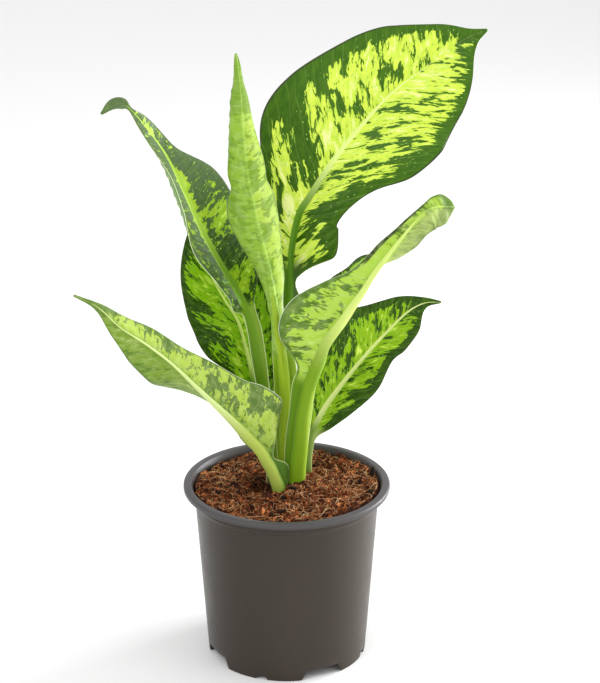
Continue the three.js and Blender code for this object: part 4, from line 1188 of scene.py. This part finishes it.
def stalk_feet():
    """Where each stalk comes out of the mix, as x and y."""
    feet = []
    for entry in STATIONS.values():
        x, y, z = np.array(entry["rows"], dtype=float)[:3, :3].T
        feet.append([np.interp(STALK_LEVEL, z, x), np.interp(STALK_LEVEL, z, y)])
    return np.array(feet)


def scattered(rng, count, radius, clear):
    """Random places on the mix within the radius, none closer to a stalk than the clear distance."""
    reach = radius * np.sqrt(rng.random(count))
    angle = 2 * np.pi * rng.random(count)
    places = np.stack([reach * np.cos(angle), reach * np.sin(angle)], -1)
    gaps = np.linalg.norm(places[:, None] - stalk_feet()[None], axis=-1).min(axis=1)
    return places[gaps > clear]


def random_turns(rng, count):
    """Random rotations as matrices, from random unit quaternions."""
    w, x, y, z = unit(rng.normal(size=(count, 4))).T
    return np.stack([
        np.stack([1 - 2 * (y * y + z * z), 2 * (x * y - z * w), 2 * (x * z + y * w)], -1),
        np.stack([2 * (x * y + z * w), 1 - 2 * (x * x + z * z), 2 * (y * z - x * w)], -1),
        np.stack([2 * (x * z - y * w), 2 * (y * z + x * w), 1 - 2 * (x * x + y * y)], -1),
    ], -2)


def icosahedron():
    """Twelve corners on the unit sphere and the twenty faces between them."""
    golden = (1 + 5**0.5) / 2
    corners = [np.roll((a, b, 0), k) for k in range(3) for b in (golden, -golden) for a in (-1, 1)]
    faces = [
        (0, 11, 5), (0, 5, 1), (0, 1, 7), (0, 7, 10), (0, 10, 11),
        (1, 5, 9), (5, 11, 4), (11, 10, 2), (10, 7, 6), (7, 1, 8),
        (3, 9, 4), (3, 4, 2), (3, 2, 6), (3, 6, 8), (3, 8, 9),
        (4, 9, 5), (2, 4, 11), (6, 2, 10), (8, 6, 7), (9, 8, 1),
    ]
    return unit(np.array(corners)), np.array(faces)


def within(span, share):
    """The value that lies at a share of the way from the span's first number to its second."""
    return span[0] + (span[1] - span[0]) * share


def tints(rng, places, copies):
    """A random tint for each piece, given to each of its points, with painted shade in the hollow."""
    return np.repeat(rng.random(len(places)) - 0.5 * painted_hollow_shade(*places.T), copies)


def make_crumbs(name, material, seed, count, sizes, stretch):
    """Husk crumbs: icosahedra with jittered corners, stretched, turned at random and half sunk in the mix."""
    rng = np.random.default_rng(seed)
    corners, faces = icosahedron()
    places = scattered(rng, count, radius=SOIL_RADIUS - 1.5, clear=5.0)
    number = len(places)
    scale = within(sizes, rng.random(number) ** 2.5)
    jitter = 0.3 * rng.normal(size=(number, 12, 1)).clip(-1.5, 1.5)
    shape = corners[None] * (1 + jitter)
    long = 1 + stretch * rng.random(number)
    flat = 0.45 + 0.4 * rng.random(number)
    shape = shape * np.stack([long, np.ones(number), flat], -1)[:, None]
    shape = np.einsum("nij,nkj->nki", random_turns(rng, number), shape) * (scale / 2)[:, None, None]
    height = rough_soil_height(*places.T) + 0.15 * scale
    points = shape + np.concatenate([places, height[:, None]], -1)[:, None]
    index = faces[None] + 12 * np.arange(number)[:, None, None]
    crumbs = new_piece(name, points.reshape(-1, 3), index.reshape(-1, 3).tolist(), [material],
                       attributes={"tint": tints(rng, places, 12)})
    crumbs.data.polygons.foreach_set("use_smooth", np.zeros(len(crumbs.data.polygons), dtype=bool))
    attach(crumbs, "root")


def make_fibres(name, material, seed, count, lengths, radii, lift):
    """Coir fibres: thin four-sided tubes along curved paths over the mix, arching a little above it."""
    rng = np.random.default_rng(seed)
    places = scattered(rng, count, radius=SOIL_RADIUS - 2, clear=5.5)
    number = len(places)
    steps = 6
    length = within(lengths, rng.random(number) ** 2)
    t = np.linspace(0, 1, steps)
    start = 2 * np.pi * rng.random((number, 1))
    bend = rng.normal(scale=0.7, size=(number, 1))
    sway = 0.3 * rng.normal(size=(number, 1))
    heading = start + bend * t + sway * np.sin(2 * np.pi * t)
    stride = (length / (steps - 1))[:, None]
    x = places[:, 0:1] + np.cumsum(np.cos(heading) * stride, axis=1)
    y = places[:, 1:2] + np.cumsum(np.sin(heading) * stride, axis=1)
    reach = np.hypot(x, y)
    pull = np.minimum(1, (SOIL_RADIUS - 1) / reach)
    x = x * pull
    y = y * pull
    arch = rng.random((number, 1)) * lift * np.sin(np.pi * t) + 0.35
    z = rough_soil_height(x, y) * 0.5 + soil_height(x, y) * 0.5 + arch
    radius = within(radii, rng.random((number, 1))) * (1 - 0.7 * np.abs(2 * t - 1) ** 3)
    side = np.stack([-np.sin(heading), np.cos(heading), np.zeros_like(heading)], -1)
    up = np.array([0.0, 0.0, 1.0])
    path = np.stack([x, y, z], -1)
    points = np.stack([
        path + radius[..., None] * (math.cos(turn) * side + math.sin(turn) * up)
        for turn in np.arange(4) * math.pi / 2
    ], 2)
    one = grid_faces(steps, 4, closed=True)
    caps = np.array([[3, 2, 1, 0], [4 * steps - 4, 4 * steps - 3, 4 * steps - 2, 4 * steps - 1]])
    one = np.concatenate([one, caps])
    index = one[None] + 4 * steps * np.arange(number)[:, None, None]
    fibres = new_piece(name, points.reshape(-1, 3), index.reshape(-1, 4).tolist(), [material],
                       attributes={"tint": tints(rng, places, 4 * steps)})
    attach(fibres, "root")


# Setting


def make_floor():
    """A plain pale floor, far wider than the view."""
    finish = Finish("pale_floor", roughness=0.9, specular=0.1)
    finish.into_shader(Base_Color=(0.92, 0.92, 0.92, 1.0))
    points = FLOOR_REACH * np.array([[-1, -1, 0], [1, -1, 0], [1, 1, 0], [-1, 1, 0]])
    floor = new_piece("floor", points, [[0, 1, 2, 3]], [finish.material])


def add_light(name, place, size, power):
    """A soft square light in metres that faces the plant."""
    data = bpy.data.lights.new(name, "AREA")
    data.shape = "SQUARE"
    data.size = size
    data.energy = power
    light = bpy.data.objects.new(name, data)
    bpy.context.collection.objects.link(light)
    light.location = place
    aim = np.array([0.0, 0.0, LIGHTS_AIM]) - np.array(place)
    flat = math.hypot(aim[0], aim[1])
    light.rotation_euler = (math.atan2(flat, -aim[2]), 0.0, math.atan2(-aim[0], aim[1]))


def light_the_studio():
    """A white surround, a large light from the upper left, a weaker one from the right, and one behind on
    the right that brings out the pot's edge."""
    world = bpy.data.worlds.new("white_surround")
    world.use_nodes = True
    background = world.node_tree.nodes["Background"]
    background.inputs["Color"].default_value = (1.0, 1.0, 1.0, 1.0)
    background.inputs["Strength"].default_value = SURROUND_STRENGTH
    bpy.context.scene.world = world
    for name, (place, size, power) in LIGHTS.items():
        add_light(name, place, size, power)


def make_camera():
    """The camera at the photograph's place, looking down its line."""
    data = bpy.data.cameras.new("photo_view")
    data.lens = CAMERA_LENS
    data.sensor_width = 36
    data.clip_start = 0.05
    data.clip_end = 50
    camera = bpy.data.objects.new("photo_view", data)
    bpy.context.collection.objects.link(camera)
    camera.location = CAMERA_PLACE
    camera.rotation_euler = (math.pi / 2 - CAMERA_PITCH, 0.0, 0.0)
    bpy.context.scene.camera = camera


def make_all():
    """Every piece of the part, then its setting."""
    make_camera()
    leaf_finishes = [leaf_upper_finish(), leaf_under_finish()]
    for order, name in enumerate(STATIONS):
        make_leaf(name, order, leaf_finishes)
    make_pot(pot_finish())
    make_soil(soil_finish())
    husk = crumb_finish("husk_crumb", HUSK_TINTS)
    for name, kind in CRUMBS.items():
        make_crumbs(name, husk, **kind)
    make_fibres("mix_fibres", crumb_finish("coir_fibre", FIBRE_TINTS), **FIBRES)
    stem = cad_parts["stem"]
    stem.data.materials.clear()
    stem.data.materials.append(stem_finish())
    make_floor()
    light_the_studio()
    bpy.context.scene.view_settings.view_transform = "Standard"


make_all()
